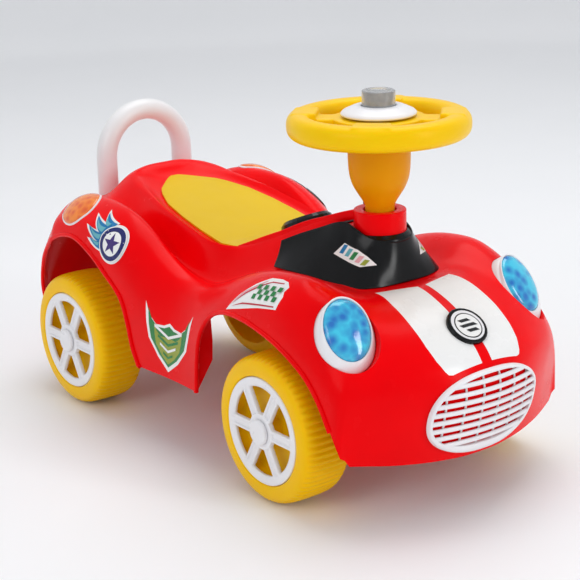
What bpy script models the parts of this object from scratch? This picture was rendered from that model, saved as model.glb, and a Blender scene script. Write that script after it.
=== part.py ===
"""Kids push car: a moulded body on four ribbed wheels, with a steered front axle.

Metres, +Z up, +X towards the nose. The origin lies on the ground under the middle of the car.
Lengths along the car are first written from the middle of the wheelbase, and one empty,
car_frame, then carries every piece to the middle of the car's own box.
"""
import math

import bmesh
import bpy
from mathutils import Matrix, Vector

# Clearances
SEAT_GAP = 0.0003            # between pieces that rest on each other
RUN_GAP = 0.0006             # between a turning piece and what it turns in
EDGE = 0.001                 # small edges are broken by this much
CUT_SPARE = 0.010            # how far a cutter reaches past what it cuts

# Running gear
WHEELBASE = 0.370
FRONT_X = WHEELBASE / 2
REAR_X = -WHEELBASE / 2
WHEEL_R = 0.075
WHEEL_FACE_Y = 0.1535        # outer face of the tyre, from the car's middle plane
TYRE_WIDTH = 0.056
TYRE_SHOULDER = 0.010
TYRE_WEB = 0.016             # how deep the recess behind the rim is
TYRE_WALL = 0.005
TYRE_BOSS_R = 0.014
TYRE_BACK_BAND = 0.021       # tread thickness at the recess in the back
TYRE_BACK_DRAFT = 0.005      # how much wider that recess is at its mouth
TYRE_ROUND = 0.0035          # first step of the shoulder beside the tread
TYRE_CHEEK = 0.009           # width of the shoulder on the outer face
RIB_COUNT = 52
RIBS_PER_FACET = 2           # the plain rings have one facet to this many ribs
RIB_DEPTH = 0.0016
RIM_R = 0.0545
RIM_BAND = 0.0095
RIM_LEDGE = 0.005
RIM_THICK = 0.0035
RIM_FALL = 0.001             # how far the rim's windows lie below its edge
RIM_DISH = 0.001             # how far the rim's hub stands out of its edge
BOSS_SINK = 0.002            # how far the inner end of the bore lies inside the tyre
SPOKES = 6
SPOKE_W = 0.0115
WINDOW_ARCS = 4              # straight pieces along a window's outer edge
HUB_ARCS = 2
HUB_R = 0.0165
HUB_CAP_R = 0.0130
HUB_CAP_H = 0.0050
HUB_CAP_ROUND = 0.75         # share of the cap's radius that its flat top covers
AXLE_R = 0.004
WASHER_R = 0.009
WASHER_H = 0.0015
BEAM_R = 0.010

# Rear axle carrier and its posts
POST_X = 0.030
POST_Y = 0.048
POST_R = 0.006
POST_FOOT = 0.150
PLATE_H = 0.003
PLATE_EDGE = 0.009           # from a post's axis out to the plate's edge
WEB_T = 0.004
WEB_FOOT = 0.008             # half the web's width at the beam
WEB_ARCH = 0.003             # how far the web stays clear of the axle
SCREW_R = 0.0018
SCREW_IN = 0.012
SCREW_HEAD_R = 0.0038
SCREW_HEAD_H = 0.0022

# Facets round each kind of turned piece
ROUND_STEPS = 28
PIN_STEPS = 20
WHEEL_STEPS = 32
POST_STEPS = 12
SCREW_STEPS = 8

# Body shell
WALL = 0.003
CENTRE_X = 0.0235           # middle of the car's box, from the middle of the wheelbase
ARCH_INNER_Y = 0.116         # how near the middle the arches are cut

# Seat and dash
SEAT_THICK = 0.0022
SEAT_EDGE = 0.0012           # gap round the plate, inside the rim
SEAT_BACK_X = -0.186
SEAT_FRONT_X = 0.026
SEAT_ROUND = 0.060
SEAT_ROUNDING = (0.03, 0.1, 0.22, 0.4, 0.7)   # rows within the rounded end, as shares of it
SEAT_LOW_Z = 0.200           # the floor of the seat lies higher than this all along
DASH_FRONT_X = 0.0285
DASH_BACK_X = 0.150
DASH_THICK = 0.002
POD_X = 0.071
POD_LONG = 0.034             # half-length along the slope
POD_WIDE = 0.026             # half-width
POD_H = 0.017
POD_BAND = 0.0075            # from the pod's side in to the dial
POD_ROUND = 0.005
POD_DIAL = 0.0015            # how deep the dial lies

# Windscreen edges, rear corner to front middle
SCREEN_TOP = ((.084, .0530, .2290), (.115, .0455, .2400), (.145, .0375, .2500),
              (.170, .0315, .2520), (.195, .0275, .2475), (.2125, .0140, .2455),
              (.2155, 0, .2450))
SCREEN_FOOT = ((.098, .0745, .2090), (.125, .0745, .2110), (.155, .0710, .2120),
               (.182, .0660, .2110), (.2045, .0545, .2085), (.2160, .0300, .2075),
               (.2180, 0, .2075))
SCREEN_MIDDLE_X = 0.120      # the cover's bulge points away from here
SCREEN_ROWS = 4
SCREEN_STEPS = 2
SCREEN_BULGE = 0.003
SCREEN_WALL = 0.002

# Steering, from the collar up to the horn button
STEER_X = FRONT_X
COLLAR_R = 0.0262
COLLAR_BORE = 0.0165
COLLAR_TOP = 0.2710
COLLAR_FOOT = 0.1500
COLLAR_TAPER = 0.030         # height over which the tube widens from its foot
COLLAR_ROUND = 0.003
GUIDE_R = 0.014              # foot of the collar's tube and the yoke's mast
WHEEL_RIM_R = 0.0785
WHEEL_TUBE_R = 0.0120
WHEEL_TUBE_H = 0.0125
WHEEL_SQUARE = 0.8           # under 1 the rim's section is squarer than an ellipse
WHEEL_Z = 0.3560
WHEEL_SPOKES = 4
WHEEL_SPOKE_W = 0.020
WHEEL_SPOKE_H = 0.012
WHEEL_SPOKE_FLARE = 0.003
WHEEL_HUB_DROP = 0.018       # from the rim's middle down to the hub's foot
WHEEL_HUB_LIP = 0.004
WHEEL_HUB_RIM = 0.003        # how far the hub's top stands out round the dome
WHEEL_HUB_Z = WHEEL_Z - WHEEL_HUB_DROP
RIM_SIDES = 12
COLUMN_TOP_R = 0.0310
COLUMN_TOP_Z = WHEEL_HUB_Z - SEAT_GAP
COLUMN_NECK_R = 0.0145
COLUMN_NECK_RISE = 0.008     # from the collar's top up to the foot of the bowl
COLUMN_DEEP = 0.031          # how far the column stands in the collar
COLUMN_FOOT_Z = COLLAR_TOP - COLUMN_DEEP
COLUMN_WALL = 0.0025
COLUMN_BOWL = ((0.10, 0.12), (0.27, 0.61), (0.49, 0.85), (0.77, 1.0))  # share up, share out
COLUMN_FLOOR = 0.32          # share of the way up at which the hollow starts
COLUMN_SCREW_TURN = 200
COLUMN_SCREW_RISE = 0.0055
DOME_R = 0.0375
DOME_H = 0.0095
DOME_SHOULDER = 0.006
DOME_CROWN = 0.014           # from the dome's edge in to its flat top
DOME_Z = WHEEL_Z + WHEEL_TUBE_H - 0.0035
BUTTON_R = 0.0165
BUTTON_BORE = BUTTON_R + 0.0007
BUTTON_STAND = 0.0145        # from the dome's top up to the button's
BUTTON_WALL = 0.005
BUTTON_CUP = 0.002
BUTTON_TOP = DOME_Z + DOME_H + BUTTON_STAND
BUTTON_TRAVEL = 0.004
BUTTON_SPARE = 0.002         # room left under the pressed button
BUTTON_WELL_Z = DOME_Z - BUTTON_TRAVEL - BUTTON_SPARE
ROD_R = 0.005
ROD_FOOT = WHEEL_R + BEAM_R
ROD_DEEP = 0.012             # how far the rod stands in the hub
ROD_TOP = WHEEL_HUB_Z + ROD_DEEP

# Push handle
HANDLE_X = -0.248
HANDLE_HALF = 0.052
HANDLE_TUBE_R = 0.012
HANDLE_ARC_Z = 0.260
HANDLE_FOOT = 0.190
HANDLE_STEPS = 14

# Lamps
LAMP_X = 0.2640
LAMP_Y = 0.1110
LAMP_Z = 0.1835
LAMP_R = 0.0350
LAMP_DEEP = 0.018
LAMP_CLEAR = 0.055           # how far in front of a lamp the skin is scooped away
LAMP_FLARE = 0.002
LAMP_STAND = 0.0035          # how far the ring stands out round the lens
LAMP_TURN = math.radians(6.0)
LAMP_TILT = math.radians(9.0)
LENS_R = 0.0280
LENS_RISE = 0.005            # the lens lies this much above the ring's middle
LENS_SEAT = 0.009            # depth of the ring's floor
LENS_DOME = ((1.0, 0.0015), (0.8, 0.0060), (0.45, 0.0090), (0, 0.0100))  # share out, height
TAIL_STATION = 5.3
TAIL_RAIL = 5.35
TAIL_ALONG = 1.45
TAIL_ACROSS = 0.75
TAIL_POINT = 0.35            # how much the almond narrows towards the front
TAIL_STEPS = 16
TAIL_RINGS = 3
TAIL_LIFT = 0.0018
TAIL_EDGE = 0.0015
TAIL_RISE = 0.003

# Grille and badge
GRILLE_STAND = 0.0026        # clear of the skin, whose facets it crosses
GRILLE_TOP_Z = 0.151
GRILLE_FOOT_Z = 0.058
GRILLE_HALF = 0.072
GRILLE_BAND = 0.005
GRILLE_THICK = 0.004
GRILLE_STEPS = 32
GRILLE_SQUARE = 0.85         # under 1 the frame is squarer than an ellipse
SLATS = 9
SLAT_H = 0.0045
SLAT_SPAN = (0.3, 0.9)       # back and front, as shares of the frame's thickness
BARS = 6
BAR_W = 0.0018
BAR_SPAN = (0.025, 0.5)
BADGE_BACK = 0.0360          # behind the nose's foremost point
BADGE_STAND = 0.0006
BADGE_R = 0.0210
BADGE_FACE_R = 0.0175
BADGE_H = 0.0040

# Stations of the half body, tail to nose: centre-line x, how far the outer side trails it,
# then (y, z) of each rail from the centre line out to the hem.
TRAIL_Y = 0.14
STATIONS = (
    (-0.300, 0.008, (0, .085), (.028, .085), (.050, .085), (.066, .085), (.081, .085),
     (.102, .085), (.124, .085), (.138, .085), (.144, .085)),
    (-0.304, 0.014, (0, .125), (.028, .125), (.050, .125), (.066, .125), (.081, .125),
     (.102, .125), (.126, .124), (.141, .115), (.147, .090)),
    (-0.302, 0.028, (0, .170), (.028, .170), (.050, .169), (.066, .167), (.081, .166),
     (.102, .165), (.127, .160), (.143, .140), (.149, .085)),
    (-0.290, 0.036, (0, .203), (.028, .203), (.050, .201), (.066, .198), (.081, .196),
     (.102, .195), (.127, .184), (.144, .158), (.150, .080)),
    (-0.262, 0.024, (0, .220), (.028, .220), (.050, .218), (.066, .214), (.081, .211),
     (.102, .216), (.127, .206), (.145, .178), (.150, .079)),
    (-0.235, 0.011, (0, .231), (.026, .230), (.048, .227), (.066, .221), (.081, .217),
     (.102, .226), (.128, .215), (.146, .186), (.150, .078)),
    (-0.207, 0.000, (0, .256), (.026, .255), (.049, .248), (.065, .235), (.081, .223),
     (.102, .233), (.128, .221), (.146, .192), (.150, .078)),
    (-0.186, 0.000, (0, .240), (.024, .241), (.053, .249), (.068, .236), (.082, .222),
     (.102, .236), (.128, .224), (.146, .195), (.150, .078)),
    (-0.155, 0.000, (0, .2355), (.0435, .2355), (.0605, .2435), (.072, .229), (.084, .217),
     (.102, .237), (.128, .226), (.146, .197), (.150, .078)),
    (-0.115, 0.000, (0, .2285), (.0565, .2285), (.0695, .2365), (.078, .217), (.086, .206),
     (.102, .2335), (.128, .223), (.1455, .193), (.149, .078)),
    (-0.078, 0.000, (0, .2220), (.0622, .2220), (.0745, .2295), (.081, .206), (.088, .194),
     (.102, .2205), (.127, .211), (.1435, .180), (.147, .078)),
    (-0.040, 0.000, (0, .2150), (.0650, .2150), (.0770, .2220), (.082, .195), (.089, .182),
     (.102, .1975), (.124, .190), (.1400, .155), (.1445, .0775)),
    (0.000, 0.000, (0, .2078), (.0655, .2078), (.0765, .2145), (.0815, .189), (.088, .176),
     (.102, .180), (.121, .172), (.137, .135), (.142, .0775)),
    (0.035, 0.000, (0, .2060), (.0540, .2060), (.0640, .2150), (.077, .190), (.087, .177),
     (.102, .181), (.121, .172), (.137, .136), (.142, .0775)),
    (0.070, 0.000, (0, .2195), (.0430, .2195), (.0510, .2300), (.069, .202), (.081, .189),
     (.102, .193), (.123, .184), (.140, .150), (.144, .0775)),
    (0.105, 0.000, (0, .2360), (.0320, .2360), (.0395, .2460), (.060, .213), (.074, .202),
     (.102, .2075), (.125, .197), (.142, .165), (.146, .0775)),
    (0.145, 0.000, (0, .2520), (.0215, .2520), (.0285, .2610), (.052, .218), (.068, .208),
     (.102, .2195), (.126, .209), (.1435, .176), (.148, .0775)),
    (0.182, 0.000, (0, .2400), (.0180, .2390), (.0290, .2340), (.048, .214), (.064, .2065),
     (.102, .2240), (.127, .213), (.144, .180), (.148, .0775)),
    (0.212, 0.000, (0, .2045), (.0200, .2045), (.0360, .2045), (.052, .2045), (.068, .2085),
     (.102, .2225), (.127, .210), (.144, .176), (.148, .0775)),
    (0.250, 0.004, (0, .2050), (.0210, .2050), (.0400, .2045), (.058, .2035), (.076, .2050),
     (.103, .2080), (.127, .194), (.143, .160), (.147, .0770)),
    (0.295, 0.013, (0, .1880), (.0210, .1875), (.0410, .1870), (.060, .1850), (.080, .1820),
     (.104, .1760), (.126, .162), (.141, .136), (.145, .0750)),
    (0.333, 0.042, (0, .1590), (.0210, .1590), (.0410, .1580), (.060, .1560), (.080, .1530),
     (.103, .1480), (.124, .140), (.138, .120), (.142, .0740)),
    (0.345, 0.055, (0, .1300), (.0210, .1300), (.0410, .1300), (.060, .1290), (.080, .1270),
     (.101, .1240), (.121, .119), (.134, .104), (.139, .0720)),
    (0.340, 0.052, (0, .1000), (.0210, .1000), (.0410, .1000), (.060, .1000), (.080, .0990),
     (.099, .0970), (.118, .093), (.131, .084), (.136, .0700)),
    (0.329, 0.042, (0, .0580), (.0210, .0580), (.0410, .0590), (.060, .0600), (.080, .0615),
     (.098, .0630), (.115, .0650), (.126, .0660), (.132, .0665)),
)
ALONG_STEPS = 1
ACROSS_STEPS = 2
NORMAL_PASSES = 3
ARCH_STEPS = 2

# Side outlines cut out of the shell, as (x, z) seen from the side, ends below the hem
REAR_ARCH = ((-0.291, .060), (-0.283, .105), (-0.262, .150), (-0.222, .186), (-0.178, .198),
             (-0.138, .188), (-0.105, .169), (-0.079, .149), (-0.067, .122), (-0.060, .097),
             (-0.050, .078), (-0.047, .060))
FRONT_ARCH = ((0.058, .060), (0.060, .110), (0.066, .142), (0.082, .164), (0.106, .1745),
              (0.135, .1775), (0.165, .1755), (0.204, .1665), (0.241, .1485), (0.264, .127),
              (0.281, .100), (0.290, .080), (0.293, .060))


def clear_scene():
    for item in list(bpy.data.objects):
        bpy.data.objects.remove(item, do_unlink=True)


def plastic(name, rgb, roughness=0.3, metallic=0.0, alpha=1.0):
    """A plain Principled material in the piece's own colour."""
    made = bpy.data.materials.get(name)
    if made:
        return made
    made = bpy.data.materials.new(name)
    made.use_nodes = True
    shader = made.node_tree.nodes["Principled BSDF"]
    shader.inputs["Base Color"].default_value = (*rgb, 1.0)
    shader.inputs["Roughness"].default_value = roughness
    shader.inputs["Metallic"].default_value = metallic
    shader.inputs["Alpha"].default_value = alpha
    made.diffuse_color = (*rgb, alpha)
    return made


def red():
    return plastic("red_polypropylene", (0.75, 0.005, 0.01), 0.28)


def yellow():
    return plastic("yellow_polyethylene", (0.85, 0.55, 0.02), 0.38)


def white():
    return plastic("white_polypropylene", (0.85, 0.85, 0.84), 0.3)


def black():
    return plastic("black_polystyrene", (0.012, 0.012, 0.014), 0.2)


def steel():
    return plastic("zinc_plated_steel", (0.6, 0.6, 0.6), 0.3, 1.0)


def blue_lens():
    return plastic("blue_lens", (0.02, 0.35, 0.65), 0.1)


def orange_lens():
    return plastic("orange_lens", (0.9, 0.22, 0.01), 0.12)


def add_object(name, mesh, material, parent=None, place=(0, 0, 0)):
    item = bpy.data.objects.new(name, mesh)
    bpy.context.collection.objects.link(item)
    if material and not mesh.materials:
        mesh.materials.append(material)
    item.parent = parent
    item.location = place
    return item


def add_empty(name, place, parent=None):
    return add_object(name, None, None, parent, place)


def close_mesh(name, bm):
    """Turn all faces outwards and store the mesh."""
    bmesh.ops.recalc_face_normals(bm, faces=bm.faces)
    mesh = bpy.data.meshes.new(name)
    bm.to_mesh(mesh)
    bm.free()
    return mesh


def smooth_round(item, degrees=35):
    item.data.shade_smooth()
    item.data.set_sharp_from_angle(angle=math.radians(degrees))
    return item


def turned_mesh(name, profile, steps, axis="Z"):
    """Revolve a (radius, height) profile; an open one closes on the axis, a ring one on itself.

    A third number at a point moves its ring sideways, which makes an eccentric cone.
    """
    bm = bmesh.new()
    closed = all(radius > 1e-6 for radius, height, *side in profile)
    rings = []
    for radius, height, *side in profile:
        middle = side[0] if side else 0.0
        if radius <= 1e-6:
            rings.append([bm.verts.new((middle, 0, height))] * steps)
            continue
        angles = [2 * math.pi * k / steps for k in range(steps)]
        rings.append([bm.verts.new((middle + radius * math.cos(a), radius * math.sin(a), height))
                      for a in angles])
    pairs = list(zip(rings, rings[1:]))
    if closed:
        pairs.append((rings[-1], rings[0]))
    for low, high in pairs:
        for k in range(steps):
            corners = [low[k], low[(k + 1) % steps], high[(k + 1) % steps], high[k]]
            unique = list(dict.fromkeys(corners))
            if len(unique) > 2:
                bm.faces.new(unique)
    if axis == "Y":
        bmesh.ops.rotate(bm, verts=bm.verts, matrix=Matrix.Rotation(math.pi / 2, 3, "X"))
    if axis == "X":
        bmesh.ops.rotate(bm, verts=bm.verts, matrix=Matrix.Rotation(math.pi / 2, 3, "Y"))
    return close_mesh(name, bm)


def prism_mesh(name, outline, low, high, axis="Z"):
    """Extrude a closed outline of two-part points from low to high along an axis."""
    bm = bmesh.new()
    places = {"Z": lambda a, b, c: (a, b, c), "Y": lambda a, b, c: (a, c, b),
              "X": lambda a, b, c: (c, a, b)}[axis]
    base = [bm.verts.new(places(a, b, low)) for a, b in outline]
    face = bm.faces.new(base)
    grown = bmesh.ops.extrude_face_region(bm, geom=[face])
    moved = [v for v in grown["geom"] if isinstance(v, bmesh.types.BMVert)]
    bmesh.ops.translate(bm, verts=moved, vec=Vector(places(0, 0, high - low)))
    return close_mesh(name, bm)


def between(a, b, c, d, t):
    """Catmull-Rom curve from b to c."""
    return 0.5 * (2 * b + (c - a) * t + (2 * a - 5 * b + 4 * c - d) * t * t
                  + (3 * b - a - 3 * c + d) * t ** 3)


def smooth_line(points, steps, mirror_start=False):
    """A smooth line through every point, with steps pieces between neighbours."""
    points = [Vector(p) for p in points]
    first = points[1].copy() if mirror_start else 2 * points[0] - points[1]
    if mirror_start:
        first.y = -first.y
    last = 2 * points[-1] - points[-2]
    padded = [first, *points, last]
    line = []
    for k in range(1, len(padded) - 2):
        for step in range(steps):
            line.append(between(*padded[k - 1:k + 3], step / steps))
    line.append(points[-1])
    return line


def body_grid():
    """Half-body points: one row across for each step along the car."""
    rows = []
    for x, trail, *rails in STATIONS:
        side = 1 if x > 0 else -1
        rows.append([Vector((x - side * trail * (y / TRAIL_Y) ** 2, y, z)) for y, z in rails])
    across = [smooth_line(row, ACROSS_STEPS, mirror_start=True) for row in rows]
    along = [smooth_line(rail, ALONG_STEPS) for rail in zip(*across)]
    return list(zip(*along))


def grid_normals(rows):
    """Outward direction at each grid point, evened out so that the inner wall can't fold."""
    last_row = len(rows) - 1
    last_rail = len(rows[0]) - 1
    normals = []
    for i, row in enumerate(rows):
        line = []
        for k, point in enumerate(row):
            along = rows[min(i + 1, last_row)][k] - rows[max(i - 1, 0)][k]
            inner = row[k - 1] if k else Vector((row[1].x, -row[1].y, row[1].z))
            across = row[min(k + 1, last_rail)] - inner
            line.append(along.cross(across).normalized())
        normals.append(line)
    for _ in range(NORMAL_PASSES):
        evened = []
        for i in range(last_row + 1):
            line = []
            for k in range(last_rail + 1):
                near = normals[i][k - 1] if k else normals[i][1] * Vector((1, -1, 1))
                total = (normals[i][k] * 2 + near + normals[i][min(k + 1, last_rail)]
                         + normals[min(i + 1, last_row)][k] + normals[max(i - 1, 0)][k])
                line.append(total.normalized())
            evened.append(line)
        normals = evened
    return normals


def skin_point(grid, station, rail):
    """A point on the faceted outer skin at a fractional station and rail, counted as listed."""
    i = min(max(station * ALONG_STEPS, 0), len(grid) - 1.001)
    k = min(max(rail * ACROSS_STEPS, 0), len(grid[0]) - 1.001)
    row, s = int(i), i - int(i)
    col, t = int(k), k - int(k)
    near = grid[row][col].lerp(grid[row + 1][col], s)
    far = grid[row][col + 1].lerp(grid[row + 1][col + 1], s)
    return near.lerp(far, t)


def skin_line(grid, y):
    """The outer skin cut lengthways, from tail to nose, at a distance from the middle."""
    line = []
    for row in grid:
        for near, far in zip(row, row[1:]):
            if near.y <= y <= far.y:
                line.append(near.lerp(far, (y - near.y) / (far.y - near.y)))
                break
    return line


def skin_height(grid, x, y):
    """Height of the outer skin over a point of the ground plan, inside the fender crests."""
    line = skin_line(grid, y)
    return max(a.lerp(b, (x - a.x) / (b.x - a.x)).z for a, b in zip(line, line[1:])
               if a.x <= x <= b.x)


def nose_reach(grid, y, z):
    """How far forward the nose stands at a height and a distance from the middle."""
    line = skin_line(grid, abs(y))
    found = [a.lerp(b, (z - a.z) / (b.z - a.z)).x for a, b in zip(line, line[1:])
             if min(a.z, b.z) <= z <= max(a.z, b.z) and a.z != b.z]
    return max(found, default=line[-1].x)


def floor_half(grid, x):
    """Half-width of the recessed floor between the rims at a distance along."""
    edge = [row[ACROSS_STEPS] for row in grid]
    return max(a.lerp(b, (x - a.x) / (b.x - a.x)).y for a, b in zip(edge, edge[1:])
               if a.x <= x <= b.x)


def cutter(name, mesh, parent, place=(0, 0, 0)):
    item = add_object(name, mesh, None, parent, place)
    item.hide_render = True
    item.display_type = "WIRE"
    return item


def cut(item, tool, operation="DIFFERENCE"):
    step = item.modifiers.new(tool.name, "BOOLEAN")
    step.object = tool
    step.operation = operation
    step.solver = "EXACT"


def tube_profile(outer, bore, foot, top, edge=EDGE):
    return ((bore, foot), (outer - edge, foot), (outer, foot + edge), (outer, top - edge),
            (outer - edge, top), (bore, top))


def rod_profile(radius, foot, top):
    """A solid pin with broken edges."""
    return ((0, foot), (radius - EDGE / 2, foot), (radius, foot + EDGE / 2),
            (radius, top - EDGE / 2), (radius - EDGE / 2, top), (0, top))


def plug_profile(radius, foot, top):
    """A plain cylinder, as cutters and posts need it."""
    return (0, foot), (radius, foot), (radius, top), (0, top)


def build_body(frame, grid):
    """Red moulded shell: lofted half with its wall, mirrored, then cut for what passes it."""
    bm = bmesh.new()
    inward = grid_normals(grid)
    outer = [[bm.verts.new(p) for p in row] for row in grid]
    inner = [[bm.verts.new(p - n * WALL) for p, n in zip(row, line)]
             for row, line in zip(grid, inward)]
    for skin in (outer, inner):
        for near, far in zip(skin, skin[1:]):
            for k in range(len(near) - 1):
                bm.faces.new((near[k], far[k], far[k + 1], near[k + 1]))
    for end in (0, -1):
        for k in range(len(inner[end]) - 1):
            bm.faces.new((outer[end][k], outer[end][k + 1], inner[end][k + 1], inner[end][k]))
    for i in range(len(outer) - 1):
        bm.faces.new((outer[i][-1], outer[i + 1][-1], inner[i + 1][-1], inner[i][-1]))
    bmesh.ops.mirror(bm, geom=bm.verts[:] + bm.edges[:] + bm.faces[:], axis="Y", merge_dist=1e-5)
    bmesh.ops.remove_doubles(bm, verts=bm.verts, dist=1e-5)
    shell = smooth_round(add_object("body_shell", close_mesh("body_shell", bm), red(), frame))
    throat = plug_profile((COLLAR_R + COLLAR_BORE) / 2, COLLAR_FOOT - CUT_SPARE,
                          COLLAR_TOP + CUT_SPARE)
    cut(shell, cutter("collar_throat", turned_mesh("collar_throat", throat, ROUND_STEPS), frame,
                      (STEER_X, 0, 0)))
    rod_bore = ROD_R + RUN_GAP
    collar = ((rod_bore, COLLAR_FOOT), (GUIDE_R, COLLAR_FOOT), (COLLAR_R, COLLAR_FOOT + COLLAR_TAPER),
              (COLLAR_R, COLLAR_TOP - COLLAR_ROUND), (COLLAR_R - COLLAR_ROUND, COLLAR_TOP),
              (COLLAR_BORE + 2 * EDGE, COLLAR_TOP), (COLLAR_BORE, COLLAR_TOP - 2 * EDGE),
              (COLLAR_BORE, COLUMN_FOOT_Z - SEAT_GAP), (rod_bore, COLUMN_FOOT_Z - SEAT_GAP))
    cut(shell, cutter("collar_tube", turned_mesh("collar_tube", collar, ROUND_STEPS), frame,
                      (STEER_X, 0, 0)), "UNION")
    for side in (-1, 1):
        label = "r" if side < 0 else "l"
        for end, x in (("rear", REAR_X - POST_X), ("front", REAR_X + POST_X)):
            place = (x, side * POST_Y, 0)
            top = skin_height(grid, x, POST_Y) - WALL / 2
            post = turned_mesh("post", plug_profile(POST_R, POST_FOOT, top), POST_STEPS)
            cut(shell, cutter(f"{end}_post_{label}", post, frame, place), "UNION")
            hole = turned_mesh("hole", plug_profile(SCREW_R + SEAT_GAP, POST_FOOT - CUT_SPARE,
                                                    POST_FOOT + SCREW_IN), SCREW_STEPS)
            cut(shell, cutter(f"{end}_screw_hole_{label}", hole, frame, place))
        socket = turned_mesh("handle_hole", plug_profile(
            HANDLE_TUBE_R + SEAT_GAP, HANDLE_FOOT - CUT_SPARE, HANDLE_ARC_Z), PIN_STEPS)
        cut(shell, cutter(f"handle_hole_{label}", socket, frame,
                          (HANDLE_X, side * HANDLE_HALF, 0)))
        for name, outline in (("rear_arch", REAR_ARCH), ("front_arch", FRONT_ARCH)):
            line = smooth_line([(x, 0, z) for x, z in outline], ARCH_STEPS)
            low, high = sorted((side * (WHEEL_FACE_Y + CUT_SPARE), side * ARCH_INNER_Y))
            arch = prism_mesh(name, [(p.x, p.z) for p in line], low, high, "Y")
            cut(shell, cutter(f"{name}_{label}", arch, frame))
    return shell


def strip_solid(name, lines, lift, thickness, material, frame):
    """A plate over a band of the skin: lines are rows of points, left edge to right edge."""
    bm = bmesh.new()
    low = [[bm.verts.new(p + Vector((0, 0, lift))) for p in row] for row in lines]
    high = [[bm.verts.new(p + Vector((0, 0, lift + thickness))) for p in row] for row in lines]
    for skin in (low, high):
        for near, far in zip(skin, skin[1:]):
            for k in range(len(near) - 1):
                bm.faces.new((near[k], far[k], far[k + 1], near[k + 1]))
    for a, b in ((low[0], high[0]), (low[-1], high[-1])):
        for k in range(len(a) - 1):
            bm.faces.new((a[k], a[k + 1], b[k + 1], b[k]))
    for edge in (0, -1):
        for i in range(len(low) - 1):
            bm.faces.new((low[i][edge], low[i + 1][edge], high[i + 1][edge], high[i][edge]))
    return smooth_round(add_object(name, close_mesh(name, bm), material, frame))


def floor_lines(grid, first_x, last_x):
    """The floor's own stations between two distances along, so plates follow its facets."""
    inside = [row[0].x for row in grid if first_x < row[0].x < last_x and row[0].z > SEAT_LOW_Z]
    return [first_x, *inside, last_x]


def build_seat(frame, grid):
    """Yellow seat plate, rounded at the back, lying on the floor inside the body's rim."""
    rows = []
    stations = floor_lines(grid, SEAT_BACK_X, SEAT_FRONT_X)
    rounding = [SEAT_BACK_X + SEAT_ROUND * share for share in SEAT_ROUNDING]
    for x in sorted({*stations, *rounding}):
        back = 1 - min(1, (x - SEAT_BACK_X + SEAT_EDGE) / SEAT_ROUND)
        half = (floor_half(grid, x) - SEAT_EDGE) * math.sqrt(1 - back ** 2)
        rows.append([Vector((x, half * k / 2, skin_height(grid, x, 0))) for k in range(-2, 3)])
    return strip_solid("seat_panel", rows, SEAT_GAP, SEAT_THICK, yellow(), frame)


def build_dash(frame, grid):
    """Black plate on the slope up to the collar, with a round instrument pod."""
    rows = []
    for x in floor_lines(grid, DASH_FRONT_X, DASH_BACK_X):
        half = floor_half(grid, x) - SEAT_EDGE
        rows.append([Vector((x, half * k / 2, skin_height(grid, x, 0))) for k in range(-2, 3)])
    strip_solid("dash_panel", rows, SEAT_GAP, DASH_THICK, black(), frame)
    low = skin_height(grid, POD_X - POD_LONG, 0)
    high = skin_height(grid, POD_X + POD_LONG, 0)
    slope = math.atan2(high - low, 2 * POD_LONG)
    dial = POD_WIDE - POD_BAND
    pod = add_object("gauge_pod", turned_mesh("gauge_pod", (
        (0, 0), (POD_WIDE - EDGE, 0), (POD_WIDE, POD_H / 2), (POD_WIDE - POD_ROUND / 3, POD_H * 0.8),
        (POD_WIDE - POD_ROUND, POD_H), (dial + EDGE, POD_H), (dial, POD_H - POD_DIAL),
        (0, POD_H - POD_DIAL)), ROUND_STEPS), black(), frame)
    pod.data.transform(Matrix.Diagonal((POD_LONG / POD_WIDE, 1, 1, 1)))
    middle = (low + high) / 2
    lift = SEAT_GAP + DASH_THICK
    pod.location = (POD_X - lift * math.sin(slope), 0, middle + lift * math.cos(slope))
    pod.rotation_euler = (0, -slope, 0)
    smooth_round(pod)


def build_windscreen(frame):
    """Black cover round the front of the hump, from one rear edge round to the other."""
    top = smooth_line(SCREEN_TOP, SCREEN_STEPS)
    foot = smooth_line(SCREEN_FOOT, SCREEN_STEPS)
    half = []
    for upper, lower in zip(top, foot):
        column = []
        for row in range(SCREEN_ROWS + 1):
            t = row / SCREEN_ROWS
            point = upper.lerp(lower, t)
            outward = Vector((point.x - SCREEN_MIDDLE_X, point.y * 2, 0)).normalized()
            column.append(point + outward * SCREEN_BULGE * math.sin(math.pi * t))
        half.append(column)
    mirrored = [[Vector((p.x, -p.y, p.z)) for p in column] for column in half[-2::-1]]
    columns = half + mirrored
    bm = bmesh.new()
    grid = [[bm.verts.new(p) for p in column] for column in columns]
    for near, far in zip(grid, grid[1:]):
        for k in range(SCREEN_ROWS):
            bm.faces.new((near[k], far[k], far[k + 1], near[k + 1]))
    bmesh.ops.recalc_face_normals(bm, faces=bm.faces)
    centre = Vector((SCREEN_MIDDLE_X, 0, SCREEN_FOOT[0][2]))
    if sum((f.calc_center_median() - centre).dot(f.normal) for f in bm.faces) < 0:
        bmesh.ops.reverse_faces(bm, faces=bm.faces)
    mesh = bpy.data.meshes.new("windscreen")
    bm.to_mesh(mesh)
    bm.free()
    screen = add_object("windscreen", mesh, black(), frame)
    wall = screen.modifiers.new("wall", "SOLIDIFY")
    wall.thickness = SCREEN_WALL
    wall.offset = 1.0
    smooth_round(screen)


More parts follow.
